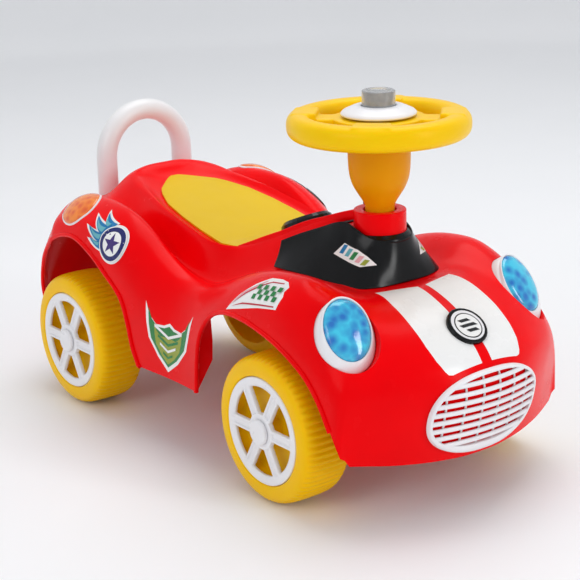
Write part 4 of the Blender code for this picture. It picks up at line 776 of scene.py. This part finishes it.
# Two opposite corners each: a flat spoke, and the raised block where it meets the rim
SPOKE = ((0.030, -0.0150, 0.3500), (0.0700, 0.0150, 0.3625))
SPOKE_END = ((0.0600, -0.0175, 0.3480), (0.0840, 0.0175, 0.3690))


def fuse(name, parts, voxel, passes):
    """Join closed solids, given as (solid, place), into one skin with soft inner corners."""
    bm = bmesh.new()
    for solid, place in parts:
        bm.from_mesh(placed("part", solid, place))
    mesh = bpy.data.meshes.new(name)
    bm.to_mesh(mesh)
    bm.free()
    holder = add_object(name, mesh)
    joined = holder.modifiers.new("joined", "REMESH")
    joined.mode, joined.voxel_size = "VOXEL", voxel
    soft = holder.modifiers.new("soft", "SMOOTH")
    soft.factor, soft.iterations = 0.5, passes
    return settled(holder)


def block(low, high):
    """A plain block between two corners."""
    points = [(x, y, z) for x in (low[0], high[0]) for y in (low[1], high[1])
              for z in (low[2], high[2])]
    return points, [(0, 1, 3, 2), (4, 6, 7, 5), (0, 4, 5, 1), (2, 3, 7, 6), (0, 2, 6, 4),
                    (1, 5, 7, 3)]


def spokes(count, blocks, first=0.0):
    """The same blocks at equal steps round the axis."""
    return [(block(*corners), Matrix.Rotation(first + a, 4, "Z"))
            for a in angles(count) for corners in blocks]


wheel_parts = [(turned(squared_round(RIM_R, TUBE_R, TUBE_H, WHEEL_Z, 28), 96), here),
               (turned(WHEEL_HUB, 72), here), *spokes(4, (SPOKE, SPOKE_END), math.pi / 4)]
wheel = fuse("steering_ring", wheel_parts, 0.0013, 5)
show("steering_ring", wheel, STEER_YELLOW, "steering", "yellow_plastic", "steering_wheel",
     place=on_axis, sharp=ALL_SMOOTH)
print("steering wheel", len(wheel.polygons), "faces")

# %% [markdown]
# ## Push handle and rolled lips
# The handle is a tube bent to an arch, and the edge of each wheel opening is rolled to a lip. In
# Geometry Nodes a route is resampled and swept with a circle, which is the way to make anything
# that follows a path. A height ratio squashes the route first and stretches the tube after, so
# that the same tree makes flat slats too.

# %% Making and running a geometry tree


def new_tree(name, **sockets):
    """An empty geometry tree with named inputs, each given as a kind and a value."""
    tree = bpy.data.node_groups.new(name, "GeometryNodeTree")
    for way in ("INPUT", "OUTPUT"):
        tree.interface.new_socket("Geometry", in_out=way, socket_type="NodeSocketGeometry")
    for label, (kind, value) in sockets.items():
        made = tree.interface.new_socket(label.replace("_", " "), in_out="INPUT",
                                         socket_type="NodeSocket" + kind)
        if value is not None:
            made.default_value = value
    return tree, tree.nodes.new("NodeGroupInput"), tree.nodes.new("NodeGroupOutput")


def close_tree(tree, leave, geometry, material):
    """End a tree as the export needs it: instances made real, then the material."""
    real = add_node(tree, "GeometryNodeRealizeInstances", {"Geometry": geometry})
    dyed = add_node(tree, "GeometryNodeSetMaterial", {"Geometry": real, "Material": material})
    tree.links.new(dyed.outputs[0], leave.inputs[0])


def grow(data, tree, **values):
    """Run a tree on a mesh or curve with its inputs set, and keep the result as a plain mesh."""
    holder = add_object("holder", data)
    step = holder.modifiers.new("tree", "NODES")
    step.node_group = tree
    for item in tree.interface.items_tree:
        value = values.get(item.name.replace(" ", "_"))
        if item.in_out == "INPUT" and value is not None:
            step[item.identifier] = value
    return settled(holder)


# %% The tree that sweeps a circle along a route
sweep, entry, leave = new_tree(
    "sweep_along_route", Radius=("Float", 0.01), Sides=("Int", 32), Spacing=("Float", 0.004),
    Height_Ratio=("Float", 1.0), Material=("Material", None))
given = entry.outputs
inverse = add_node(sweep, "ShaderNodeMath", {0: 1.0, 1: given["Height Ratio"]},
                   operation="DIVIDE")
squash = add_node(sweep, "ShaderNodeCombineXYZ", {0: 1.0, 1: 1.0, 2: inverse})
stretch = add_node(sweep, "ShaderNodeCombineXYZ", {0: 1.0, 1: 1.0, 2: given["Height Ratio"]})
lowered = add_node(sweep, "GeometryNodeTransform", {
    "Geometry": given["Geometry"], "Scale": squash})
evened = add_node(sweep, "GeometryNodeResampleCurve", {
    "Curve": lowered, "Length": given["Spacing"]}, mode="LENGTH")
ring = add_node(sweep, "GeometryNodeCurvePrimitiveCircle", {
    "Resolution": given["Sides"], "Radius": given["Radius"]})
tube = add_node(sweep, "GeometryNodeCurveToMesh", {
    "Curve": evened, "Profile Curve": ring, "Fill Caps": True})
raised = add_node(sweep, "GeometryNodeTransform", {"Geometry": tube, "Scale": stretch})
close_tree(sweep, leave, raised, given["Material"])
print("sweeping tree", len(sweep.nodes), "nodes")


def swept(radius, sides, spacing, material, *routes, ratio=1.0):
    """Tubes along routes of points; ratio is a section's height over its depth."""
    curve = bpy.data.curves.new("route", "CURVE")
    curve.dimensions = "3D"
    for points in routes:
        spline = curve.splines.new("POLY")
        spline.points.add(len(points) - 1)
        for point, place in zip(spline.points, points):
            point.co = (*place, 1.0)
    return grow(curve, sweep, Radius=radius, Sides=sides, Spacing=spacing, Height_Ratio=ratio,
                Material=material)


# %% Push handle
HANDLE_X, HANDLE_HALF, HANDLE_ARC_Z = -0.248, 0.052, 0.260
HANDLE_FOOT, HANDLE_R = 0.190, 0.012
arch = [(HANDLE_X, -HANDLE_HALF * math.cos(a), HANDLE_ARC_Z + HANDLE_HALF * math.sin(a))
        for a in (math.pi * k / 40 for k in range(41))]
route = [(HANDLE_X, -HANDLE_HALF, HANDLE_FOOT), *arch, (HANDLE_X, HANDLE_HALF, HANDLE_FOOT)]
handle = swept(HANDLE_R, 40, 0.004, HANDLE_WHITE, route)
show("handle_tube", handle, HANDLE_WHITE, "body", "white_plastic", "push_handle")
print("handle", len(handle.polygons), "faces")

# %% Lips of the wheel openings: a bead along each edge, where the moulding is rolled outwards
LIP_R = 0.0026
LIP_Y = 0.148                # the skin is looked for from here
LIP_END_Z = 0.098            # in front the lip runs out where the bumper begins
HEM_Z = 0.066                # no lip below this
for side, letter in sides():
    for end, outline in (("rear", REAR_ARCH), ("front", FRONT_ARCH)):
        line = []
        for x, z in smooth_line(outline, 8):
            point = skin_tree.find_nearest(Vector((x - CENTRE_X, side * LIP_Y, z)))[0]
            meets_bumper = point.z < LIP_END_Z and x > 0.2
            if abs(point.y) > ARCH_INNER_Y + 0.004 and point.z > HEM_Z and not meets_bumper:
                line.append((point.x + CENTRE_X, point.y, point.z))
        show(f"arch_lip_{end}_{letter}", swept(LIP_R, 12, 0.004, RED, line), RED, "body",
             "red_plastic")
print("lips made")

# %% [markdown]
# ## Wheels
# A wheel is a blow-moulded yellow drum with soft ribs across its tread, and a white six-spoked
# disc pressed into its face. The ribs follow a rule, so a tree makes them: it pushes the tread in
# and out with a cosine of the angle, and leaves the side walls alone.

# %% The tree that ribs a tread
WHEEL_R = 0.075
RIBS, RIB_DEPTH = 66, 0.0019
TYRE_PROFILE = ((0.0046, -0.054), (0.0140, -0.054), (0.0140, -0.021), (0.0540, -0.021),
                (0.0590, -0.0560), (0.0675, -0.0553), (0.0720, -0.0528), (0.0742, -0.0485),
                (0.0748, -0.0400), (0.0750, -0.0280), (0.0748, -0.0160), (0.0741, -0.0085),
                (0.0722, -0.0040), (0.0690, -0.0014), (0.0650, -0.0002), (0.0600, 0.0002),
                (0.0550, 0.0), (0.0548, -0.0048), (0.0495, -0.0048), (0.0485, -0.016),
                (0.0140, -0.016), (0.0140, -0.0028), (0.0046, -0.0028))

ribbing, entry, leave = new_tree(
    "ribbed_tread", Rib_Count=("Int", RIBS), Rib_Depth=("Float", RIB_DEPTH),
    Side_Wall_Radius=("Float", 0.0700), Tread_Radius=("Float", 0.0744),
    Material=("Material", None))
given = entry.outputs
position = add_node(ribbing, "GeometryNodeInputPosition")
where = add_node(ribbing, "ShaderNodeSeparateXYZ", {0: position})
angle = add_node(ribbing, "ShaderNodeMath", {0: where.outputs["Y"], 1: where.outputs["X"]},
                 operation="ARCTAN2")
phase = add_node(ribbing, "ShaderNodeMath", {0: angle, 1: given["Rib Count"]},
                 operation="MULTIPLY")
wave = add_node(ribbing, "ShaderNodeMath", {0: phase}, operation="COSINE")
outline = add_node(ribbing, "ShaderNodeCombineXYZ", {0: where.outputs["X"],
                                                     1: where.outputs["Y"]})
reach = add_node(ribbing, "ShaderNodeVectorMath", {0: outline}, operation="LENGTH")
fade = add_node(ribbing, "ShaderNodeMapRange", {
    "Value": reach.outputs["Value"], "From Min": given["Side Wall Radius"],
    "From Max": given["Tread Radius"]})
dip = add_node(ribbing, "ShaderNodeMapRange", {
    "Value": wave, "From Min": -1.0, "From Max": 0.6, "To Min": -1.0, "To Max": 0.0})
scaled = add_node(ribbing, "ShaderNodeMath", {0: dip, 1: given["Rib Depth"]},
                  operation="MULTIPLY")
masked = add_node(ribbing, "ShaderNodeMath", {0: scaled, 1: fade}, operation="MULTIPLY")
unit = add_node(ribbing, "ShaderNodeVectorMath", {0: outline}, operation="NORMALIZE")
shift = add_node(ribbing, "ShaderNodeVectorMath", {0: unit, "Scale": masked},
                 operation="SCALE")
moved = add_node(ribbing, "GeometryNodeSetPosition", {"Geometry": given["Geometry"],
                                                      "Offset": shift})
close_tree(ribbing, leave, moved, given["Material"])
print("ribbing tree", len(ribbing.nodes), "nodes")

# %% The tyre's drum, run through the tree
FACETS_PER_RIB = 8
drum = mesh_of("tyre", *turned(soften(TYRE_PROFILE, 0.0016, 2), RIBS * FACETS_PER_RIB))
tyre = grow(drum, ribbing, Rib_Count=RIBS, Rib_Depth=RIB_DEPTH, Material=WHEEL_YELLOW)
print("tyre", len(tyre.polygons), "faces")

# %% Rim with its spokes, and the hub cap
RIM_RING = ((0.0450, -0.0042), (0.0545, -0.0042), (0.0545, -0.0002), (0.0530, 0.0006),
            (0.0480, 0.0002), (0.0450, -0.0012))
RIM_HUB = ((0, -0.0038), (0.0190, -0.0038), (0.0180, 0.0010), (0, 0.0010))
# A flat spoke, and the rail along each of its edges
RIM_SPOKE = (((0.0100, -0.0062, -0.0042), (0.0480, 0.0062, -0.0016)),
             ((0.0120, -0.0058, -0.0030), (0.0470, -0.0032, 0.0004)),
             ((0.0120, 0.0032, -0.0030), (0.0470, 0.0058, 0.0004)))
CAP = ((0, 0.0013), (0.0130, 0.0013), (0.0130, 0.0042), (0.0112, 0.0056), (0.0060, 0.0059),
       (0, 0.0060))
rim = fuse("rim", [(turned(RIM_RING, 96), here), (turned(RIM_HUB, 72), here),
                   *spokes(6, RIM_SPOKE)], 0.0007, 3)
cap = turned_mesh("cap", CAP, 64, 0.0012)
print("rim", len(rim.polygons), "faces")

# %% Four wheels
WHEEL_PIECES = (("drum", tyre, WHEEL_YELLOW, "yellow_plastic", "tyre", 50),
                ("disc", rim, WHITE, "white_plastic", "rim", ALL_SMOOTH),
                ("cap", cap, WHITE, "white_plastic", "hub_cap", 38))
for end, x in (("front", STEER_X), ("rear", -STEER_X)):
    for side, letter in sides():
        place = Matrix.Translation((x, side * WHEEL_FACE_Y, WHEEL_R)) @ Matrix.Rotation(
            -side * math.pi / 2, 4, "X")
        for label, mesh, material, slot, node, sharp in WHEEL_PIECES:
            show(f"wheel_{label}_{end}_{letter}", mesh.copy(), material,
                 f"wheel_{end}_{letter}", slot, f"{node}_{end}_{letter}", place=place, sharp=sharp)
print("wheels mounted")

# %% [markdown]
# ## Grille
# The white grille is one oval moulding: a frame that is thin above and broad below, slats with
# convex faces that follow the curve of the nose, and thin bars behind them. Slats and bars follow
# a path, so the sweeping tree makes them; its height ratio flattens the circle into a slat.

# %% Frame of the grille
GRILLE_Z, GRILLE_TALL, GRILLE_WIDE, GRILLE_SQUARE = 0.1045, 0.0418, 0.0680, 0.85
GRILLE_STAND = 0.0010        # how far it stands off the skin
# How far each ring of the frame's section is drawn in, and how far it is lifted
FRAME_PROFILE = ((0, 0), (0.0003, 0.0036), (0.0012, 0.0046), (0.0030, 0.0048),
                 (0.0042, 0.0042), (0.0046, 0.0030), (0.0046, 0))
FRAME_TOP, FRAME_FOOT = 0.75, 1.25


def on_nose(y, z, lift):
    """A point lifted off the foremost skin."""
    hit = skin_tree.ray_cast(Vector((0.6, y, z)), Vector((-1, 0, 0)))[0]
    return (hit.x if hit else 0.3) + CENTRE_X + GRILLE_STAND + lift, y, z


def grille_ring(inset, lift, steps=96):
    """The grille's oval, drawn in by inset (more at the foot) and lifted off the skin."""
    line = []
    for a in angles(steps):
        c, s = math.cos(a), math.sin(a)
        drawn = inset * (FRAME_TOP + FRAME_FOOT * max(0.0, -s) ** 2)
        line.append(on_nose((GRILLE_WIDE - drawn) * squared(c, GRILLE_SQUARE),
                            GRILLE_Z + (GRILLE_TALL - drawn) * squared(s, GRILLE_SQUARE), lift))
    return line


rings = [grille_ring(inset, lift) for inset, lift in FRAME_PROFILE]
grille_frame = mesh_of("grille_frame", [p for ring in rings for p in ring],
                       net_faces(len(rings), len(rings[0]), closed=True, looped=True))
show("grille_frame", grille_frame, WHITE, "body", "white_plastic", "grille", sharp=50)

# %% Slats and bars of the grille
SLAT_COUNT, SLAT_DEEP, SLAT_RATIO, SLAT_LIFT, SLAT_MARGIN = 8, 0.0016, 1.5, 0.0026, 0.0022
BAR_SPACING, BAR_R, BAR_LIFT, BAR_MARGIN = 0.0205, 0.0011, 0.0002, 0.002
SLATS_LOW, SLATS_HIGH = GRILLE_Z - GRILLE_TALL + 0.0092, GRILLE_Z + GRILLE_TALL - 0.0034


def half_width(z, margin):
    """Half the grille's width at a height, less a margin."""
    share = abs(z - GRILLE_Z) / (GRILLE_TALL - margin)
    power = 2 / GRILLE_SQUARE
    return (GRILLE_WIDE - margin) * max(0.0, 1 - share ** power) ** (1 / power)


slats, bars = [], []
for k in range(SLAT_COUNT):
    z = SLATS_LOW + (SLATS_HIGH - SLATS_LOW) * (k + 0.62) / (SLAT_COUNT + 0.35)
    reach = half_width(z, SLAT_MARGIN)
    slats.append([on_nose(y, z, SLAT_LIFT) for y in np.linspace(-reach, reach, 41)])
for y in ((k + 0.5) * BAR_SPACING for k in range(-3, 3)):
    bars.append([on_nose(y, z, BAR_LIFT)
                 for z in np.linspace(SLATS_LOW - BAR_MARGIN, SLATS_HIGH, 40)
                 if half_width(z, BAR_MARGIN) > abs(y)])
show("grille_slats", swept(SLAT_DEEP, 20, 0.003, WHITE, *slats, ratio=SLAT_RATIO), WHITE, "body",
     "white_plastic", sharp=60)
show("grille_bars", swept(BAR_R, 12, 0.003, WHITE, *bars), WHITE, "body", "white_plastic",
     sharp=60)
print("grille slats", len(slats), "bars", len(bars))

# %% [markdown]
# ## Printed film
# The stickers are vinyl film, printed in flat inks and laid over the curved skin. They could be a
# painted texture, but outlines stay crisp from close by and are part of the mesh. Each ink
# is drawn as a flat outline, cut into small facets and dropped onto the surface below, one thin
# layer over the other, which is how a real film takes on the shape of a fender. The motifs are
# plain ones: stripes, chequers, chevrons, a star in a ring and slanted bars.

# %% Inks


def ink(name, tone, drift):
    """Printed vinyl: one flat ink under a thin clear film, a little glossier than the plastic."""
    return moulded(name, tone, drift, (0.22, 0.30), 0.0018, 0.03, specular_ior_level=0.35,
                   coat_weight=0.15, coat_roughness=0.1)


INK = {name: ink(f"vinyl_{name}", tone, drift) for name, tone, drift in (
    ("white", "#F2F2F0", "#EFEFEE"), ("navy", "#1B1F5E", "#23286B"),
    ("purple", "#3B2A6E", "#43307A"), ("blue", "#0F6FA8", "#1A7DB4"),
    ("teal", "#58A9B8", "#6BB5C0"), ("green", "#1E7A3A", "#278545"),
    ("olive", "#8E9A2E", "#9BA63A"), ("red", "#C8283A", "#B82236"),
    ("pink", "#E3A9AE", "#DDA0A8"), ("black", "#18191B", "#202124"))}
print("inks", ", ".join(INK))

# %% Outlines, in millimetres


def disc(u, v, radius, steps=40):
    return [(u + radius * math.cos(a), v + radius * math.sin(a)) for a in angles(steps)]


def star(u, v, outer_r, inner_r, points=5):
    """A star with one point up."""
    line = []
    for k in range(2 * points):
        a, radius = math.radians(90 + 180 * k / points), inner_r if k % 2 else outer_r
        line.append((u + radius * math.cos(a), v + radius * math.sin(a)))
    return line


def bar(u, v, wide, tall, slant):
    """A slanted bar about its middle."""
    return [(u + a * wide / 2 + b * slant / 2, v + b * tall / 2)
            for a, b in ((-1, -1), (1, -1), (1, 1), (-1, 1))]


def streak(base, tip, half, bend, steps=10):
    """A curved tongue from a broad base to a pointed tip."""
    base, along = Vector(base), Vector(tip) - Vector(base)
    across = Vector((-along.y, along.x)).normalized()
    edges = ([], [])
    for t in (k / steps for k in range(steps + 1)):
        middle = base + along * t + across * bend * 4 * t * (1 - t)
        for sign, edge in zip((1, -1), edges):
            edge.append(tuple(middle + across * sign * half * (1 - t) ** 0.8))
    return edges[0] + edges[1][-2::-1]


def chevron(v, half, rise, thick):
    """A V-shaped band."""
    return [(-half, v + rise), (0.0, v), (half, v + rise), (half, v + rise - thick),
            (0.0, v - thick), (-half, v + rise - thick)]


# %% A film that lies on a surface
FILM_CUT, FILM_LIFT, INK_LIFT, FILM_REACH = 0.004, 0.00018, 0.00010, 0.03


def facets(outline):
    """A flat outline in metres, cut into squares of FILM_CUT."""
    layer = bmesh.new()
    layer.faces.new([layer.verts.new((u, v, 0)) for u, v in outline])
    for axis, direction in enumerate((Vector((1, 0, 0)), Vector((0, 1, 0)))):
        values = [point[axis] for point in outline]
        cut = min(values) + FILM_CUT
        while cut < max(values):
            bmesh.ops.bisect_plane(layer, geom=[*layer.verts, *layer.edges, *layer.faces],
                                   plane_co=direction * cut, plane_no=direction)
            cut += FILM_CUT
    return layer


def drop(tree, start, normal):
    """The point of a surface under start, and its normal there."""
    hit = tree.ray_cast(start, -normal)
    if hit[0] is None:
        hit = tree.find_nearest(start - normal * FILM_REACH)
    return hit[0] + Vector((CENTRE_X, 0, 0)), hit[1]


def film(name, layers, spot, outward, along, tree=None):
    """Lay outlines on a surface; layers are (ink name, outline in millimetres), lowest first."""
    normal = Vector(outward).normalized()
    u_axis = (Vector(along) - normal * normal.dot(Vector(along))).normalized()
    v_axis = normal.cross(u_axis)
    if v_axis.z < -0.1:
        v_axis = -v_axis
    origin = Vector(spot) + normal * FILM_REACH - Vector((CENTRE_X, 0, 0))
    mesh = bpy.data.meshes.new(name)
    whole_film = bmesh.new()
    inks = list(dict.fromkeys(tone for tone, outline in layers))
    for height, (tone, outline) in enumerate(layers):
        layer = facets([(u / 1000, v / 1000) for u, v in outline])
        for vert in layer.verts:
            hit, slope = drop(tree or skin_tree, origin + u_axis * vert.co.x + v_axis * vert.co.y,
                              normal)
            vert.co = hit + slope * (FILM_LIFT + INK_LIFT * height)
        layer.normal_update()
        bmesh.ops.reverse_faces(layer, faces=[f for f in layer.faces if f.normal.dot(normal) < 0])
        for face in layer.faces:
            face.material_index = inks.index(tone)
        layer.to_mesh(mesh)
        whole_film.from_mesh(mesh)
        layer.free()
    whole_film.to_mesh(mesh)
    whole_film.free()
    for tone in inks:
        mesh.materials.append(INK[tone])
    show(name, mesh, None, "body", "white_plastic", sharp=60)


# %% Stripes on the hood
STRIPE = ((-46.7, 5.0), (-57.9, 47.5), (-30.4, 51.5), (3.2, 53.5), (28.4, 53.5), (44.0, 51.5),
          (55.0, 47.5), (58.5, 45.0), (60.0, 41.0), (59.6, 6.2))
for side, letter in sides():
    film(f"hood_stripe_{letter}", [("white", [(u, side * v) for u, v in STRIPE])],
         (0.290, 0, 0.187), (0.5, 0, 0.866), (0.866, 0, -0.5))
print("stripes laid")

# %% Roundel on the rear fender: a star in a ring, with four tongues behind it
ROUNDEL = (11, -7)
TONGUES = (((-2, 4), (-36, 20), 7.0, 3.0), ((-4, -4), (-42, 6), 6.5, 3.0),
           ((2, 10), (-20, 27), 5.5, 2.5), ((-4, -12), (-34, -8), 4.5, 2.0))
MARGIN = 2.2                 # white round each tongue
roundel = [("white", streak(base, tip, half + MARGIN, bend)) for base, tip, half, bend in TONGUES]
roundel += [("white", disc(*ROUNDEL, 21.5))]
for tone, push, reach, width in (("blue", (0, 0), 0.86, 1), ("teal", (-6, 1), 0.74, 0.45)):
    roundel += [(tone, streak((base[0] + push[0], base[1] + push[1]),
                              (reach * tip[0], reach * tip[1]), half * width, bend))
                for base, tip, half, bend in TONGUES]
roundel += [("white", disc(*ROUNDEL, 19.6)), ("navy", disc(*ROUNDEL, 18.2)),
            ("white", disc(*ROUNDEL, 13.2)), ("purple", star(*ROUNDEL, 12.0, 4.9))]
print("roundel of", len(roundel), "outlines")

# %% Shield on the skirt
SHIELD = ((-40, 34), (-33, 20), (-22, 12), (-9, 13), (0, 17), (9, 13), (22, 12), (33, 20),
          (40, 34), (38, 12), (34, -5), (18, -23), (0, -36), (-18, -23), (-34, -5), (-38, 12))
shield = [("white", SHIELD), ("green", [(u * 0.88, v * 0.84 - 0.6) for u, v in SHIELD]),
          ("olive", [(u * 0.62, v * 0.58 - 6.5) for u, v in SHIELD]),
          ("white", chevron(3, 24, 9, 3.2)), ("green", chevron(-5, 18, 7, 3.0)),
          ("white", chevron(-12, 14, 6, 2.8)), ("green", chevron(-19, 8.5, 4, 2.4))]
print("shield of", len(shield), "outlines")

# %% Chequered pennant on the front fender
PENNANT = ((-46, -23), (-29, -5), (-11, 9.5), (6, 20), (22, 22), (32, 21), (38, 16), (36, 10),
           (38.5, 5), (37, -9), (9, -13), (-19, -18.5))
CHEQUER, LEAN, DROP = 5.4, 0.8, 0.5
pennant = [("white", PENNANT),
           ("pink", [(-40, -18), (-26, -3), (-10, 7.5), (5, 17), (4, 14.5), (-9, 5),
                     (-24, -5.5)]),
           ("red", [(-36, -16), (-20, -2), (0, 10.5), (12, 16.5), (29, 18.5), (29, 17.3),
                    (12, 15), (1, 9), (-18, -3.2)]),
           ("red", [(-37, -18.5), (-18, -12.4), (8, -9.4), (33, -6.6), (33, -7.8), (8, -10.9),
                    (-18, -14)])]
for row in range(3):
    for column in range(row % 2, 7, 2):
        u = -6 + column * CHEQUER + row * LEAN
        v = -6.5 + row * CHEQUER + column * DROP
        pennant.append(("green", [(u, v), (u + CHEQUER, v + DROP),
                                  (u + CHEQUER + LEAN, v + CHEQUER + DROP),
                                  (u + LEAN, v + CHEQUER)]))
print("pennant of", len(pennant), "outlines")

# %% Slanted bars on the windscreen, and all the stickers laid
BARS = (("blue", -14, 5.0, 9), ("teal", -7, 3.0, 8), ("green", -0.5, 1.0, 8),
        ("pink", 6, -1.0, 7), ("olive", 12, -3.0, 6))
bars_film = [("white", [(-24, -1.5), (-15, 11), (-7, 9), (2, 7.5), (13, 3), (23, -3), (9, -8),
                        (-3, -6)])]
bars_film += [(tone, bar(u, v, 4.6, tall, 3)) for tone, u, v, tall in BARS]
for side, letter in sides():
    film(f"star_film_{letter}", roundel, (-0.109, side * 0.1387, 0.210),
         (0.15, side * 0.94, 0.31), (1, 0, 0))
    film(f"shield_film_{letter}", shield, (0.004, side * 0.1382, 0.120), (0, side, 0.08),
         (1, 0, 0))
    film(f"pennant_film_{letter}", pennant, (0.158, side * 0.1323, 0.204),
         (-0.09, side * 0.74, 0.67), (1, 0, 0))
    film(f"bar_film_{letter}", bars_film, (0.195, side * 0.042, 0.231),
         (0.45, side * 0.85, 0.25), (0.85, -side * 0.45, -0.12), screen_tree)
print("stickers laid")

# %% Dial of the gauge and face of the badge
DIAL_R, DIAL_STRETCH = 12, 1.25


def node_surface(name):
    """The surface of a node that stays as it is."""
    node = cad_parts[name]
    return surface(node.data, node.matrix_world)


dial = []
for spin in (math.radians(-120 + 40 * k) for k in range(7)):
    c, s = math.cos(spin), math.sin(spin)
    dial.append(("white", [(u * c - (v + DIAL_R) * s, (u * s + (v + DIAL_R) * c) * DIAL_STRETCH)
                           for u, v in bar(0, 0, 1.3, 4.2, 0)]))
dial.append(("red", [(-0.9, -2.0), (0.9, -2.0), (5.2, 11.0), (4.6, 11.2)]))
dial.append(("white", disc(0, 0, 2.0, 20)))
film("gauge_dial", dial, (0.064, 0, 0.2378), (-0.395, 0, 0.919), (0, -1, 0),
     node_surface("gauge_pod"))
badge = [("black", disc(0, 0, 14.6)), ("white", disc(0, 0, 13.4))]
badge += [("black", bar(u, v, wide, 3.4, 3.0))
          for u, v, wide in ((1.5, 6.0, 12), (0, 0, 18), (-1.5, -6.0, 12))]
film("badge_print", badge, (0.310, 0, 0.1765), (0.5, 0, 0.866), (0, -1, 0),
     node_surface("badge_face"))
print("dial and badge printed")

# %% [markdown]
# ## Tail lights
# A tail light is an orange lens that lies over the shoulder of the fender on a thin white seat.
# Cut from a ball it would stand off the skin at one end and sink at the other. So both are ovals
# dropped onto the skin ring by ring, and the lens rises to a low dome in its middle.

# %% Lenses that lie on the skin
TAIL_SPOT, TAIL_OUT = Vector((-0.188, 0.125, 0.226)), Vector((0, 0.6, 0.8))
TAIL_HALF = (0.0265, 0.0235)
TAIL_RISE, TAIL_RIM, SEAT_RISE, SEAT_RIM, SEAT_WIDER = 0.0042, 0.0022, 0.0004, 0.0014, 0.0017
SUNK = 0.0004                # how far the underside lies below the skin


def lens_on_skin(name, side, half, rim, rise, steps=64, rings=12):
    """A closed low dome over an oval patch of the body's skin."""
    outward = Vector((TAIL_OUT.x, side * TAIL_OUT.y, TAIL_OUT.z))
    spot = Vector((TAIL_SPOT.x - CENTRE_X, side * TAIL_SPOT.y, TAIL_SPOT.z))
    run = Vector((1, 0, 0))
    across = outward.cross(run)
    shares = [(1.0, -SUNK), (1.0, rim * 0.7), (0.985, rim)]
    shares += [(1 - k / rings, rim + rise * (1 - (1 - k / rings) ** 2)) for k in range(1, rings)]
    points = []
    for share, lift in shares:
        for a in angles(steps):
            start = spot + run * half[0] * share * math.cos(a) \
                + across * half[1] * share * math.sin(a)
            hit, slope = drop(skin_tree, start + outward * FILM_REACH, outward)
            points.append(hit + slope * lift)
    last = (len(shares) - 1) * steps
    return mesh_of(name, points, [*net_faces(len(shares), steps, closed=True),
                                  tuple(range(steps)), tuple(range(last, last + steps))])


seat_half = [half + SEAT_WIDER for half in TAIL_HALF]
for side, letter in sides():
    seat = lens_on_skin("seat", side, seat_half, SEAT_RIM, SEAT_RISE)
    show(f"tail_seat_{letter}", seat, WHITE, "body", "white_plastic", sharp=50)
    tail = lens_on_skin("lens", side, TAIL_HALF, TAIL_RIM, TAIL_RISE)
    show(f"tail_lens_{letter}", tail, ORANGE_LENS, "body", "orange_lens", f"tail_light_{letter}",
         sharp=50)
print("tail lights made")

# %% [markdown]
# ## The pieces that stay as they are
# Plates, pins and brackets are already the right shape in the frame. They only need their
# material, which goes into the slot of the node's own mesh.

# %% Materials on the kept nodes
KEPT = {
    SEAT_YELLOW: ("seat_panel",), BLACK: ("dash_panel", "gauge_pod", "badge_dish"),
    WHITE: ("badge_face",), DULL_BLACK: ("rear_axle_carrier", "front_yoke"),
    ZINC: ("rear_axle", "front_axle", "thrust_washer", "steering_rod", "column_screw",
           *[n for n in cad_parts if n.startswith(("carrier_screw", "axle_washer"))]),
}
for material, names in KEPT.items():
    for name in names:
        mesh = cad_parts[name].data
        mesh.materials.clear()
        mesh.materials.append(material)
print("kept nodes", sum(len(names) for names in KEPT.values()))

# %% [markdown]
# ## Floor and light
# A pale round floor that curves up into a wall on every side, one large soft lamp overhead, one
# from the camera's left and a tall one from the right give the even light of a product photograph.
# The tall lamp is what the windscreen shows as an upright band of light.

# %% Floor
FLOOR_LINE = ((0, 0), (2.3, 0), (2.8, 0.05), (3.3, 0.26), (3.8, 0.80), (4.15, 1.7), (4.3, 3.2))
floor_mesh = mesh_of("floor", *turned([tuple(p) for p in smooth_line(FLOOR_LINE, 6)], 96))
paper, tree, shader, place = start_material("pale_studio_paper", roughness=0.55)
mottle = add_node(tree, "ShaderNodeTexNoise", {"Vector": place, "Scale": 3.0, "Detail": 4.0})
tone = add_node(tree, "ShaderNodeMix", {
    "Factor": mottle, "A": linear("#F4F5F6"), "B": linear("#F9F9FA")}, data_type="RGBA")
finish(tree, shader, tone.outputs["Result"])
floor_mesh.materials.append(paper)
floor_mesh.shade_smooth()
add_object("floor", floor_mesh)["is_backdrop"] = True
print("floor", len(floor_mesh.polygons), "faces")

# %% Lamps and world
LOOK_AT = Vector((0, 0, 0.15))
# Name, place, width, height and watts
LAMPS = (("overhead", (-0.3, 0.5, 2.3), 1.8, 1.8, 25),
         ("left_front", (0.6, -2.2, 1.3), 1.2, 1.2, 9),
         ("right_front", (2.4, 0.75, 0.90), 0.45, 1.5, 13))
for name, place, width, height, power in LAMPS:
    data = bpy.data.lights.new(name, "AREA")
    data.shape, data.size, data.size_y, data.energy = "RECTANGLE", width, height, power
    item = add_object(name, data)
    item.location = place
    item.rotation_euler = (Vector(place) - LOOK_AT).to_track_quat("Z", "Y").to_euler()
world = bpy.data.worlds.new("studio")
bpy.context.scene.world = world
world.use_nodes = True
sky = world.node_tree.nodes["Background"].inputs
sky["Color"].default_value, sky["Strength"].default_value = linear("#F4F6FA"), 0.62
print("lamps", len(LAMPS))

# %% [markdown]
# ## Finish
# The visual model must fill the same box as the solids.

# %% Sizes
low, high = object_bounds()
print("visual box", [round(v, 4) for v in high - low])
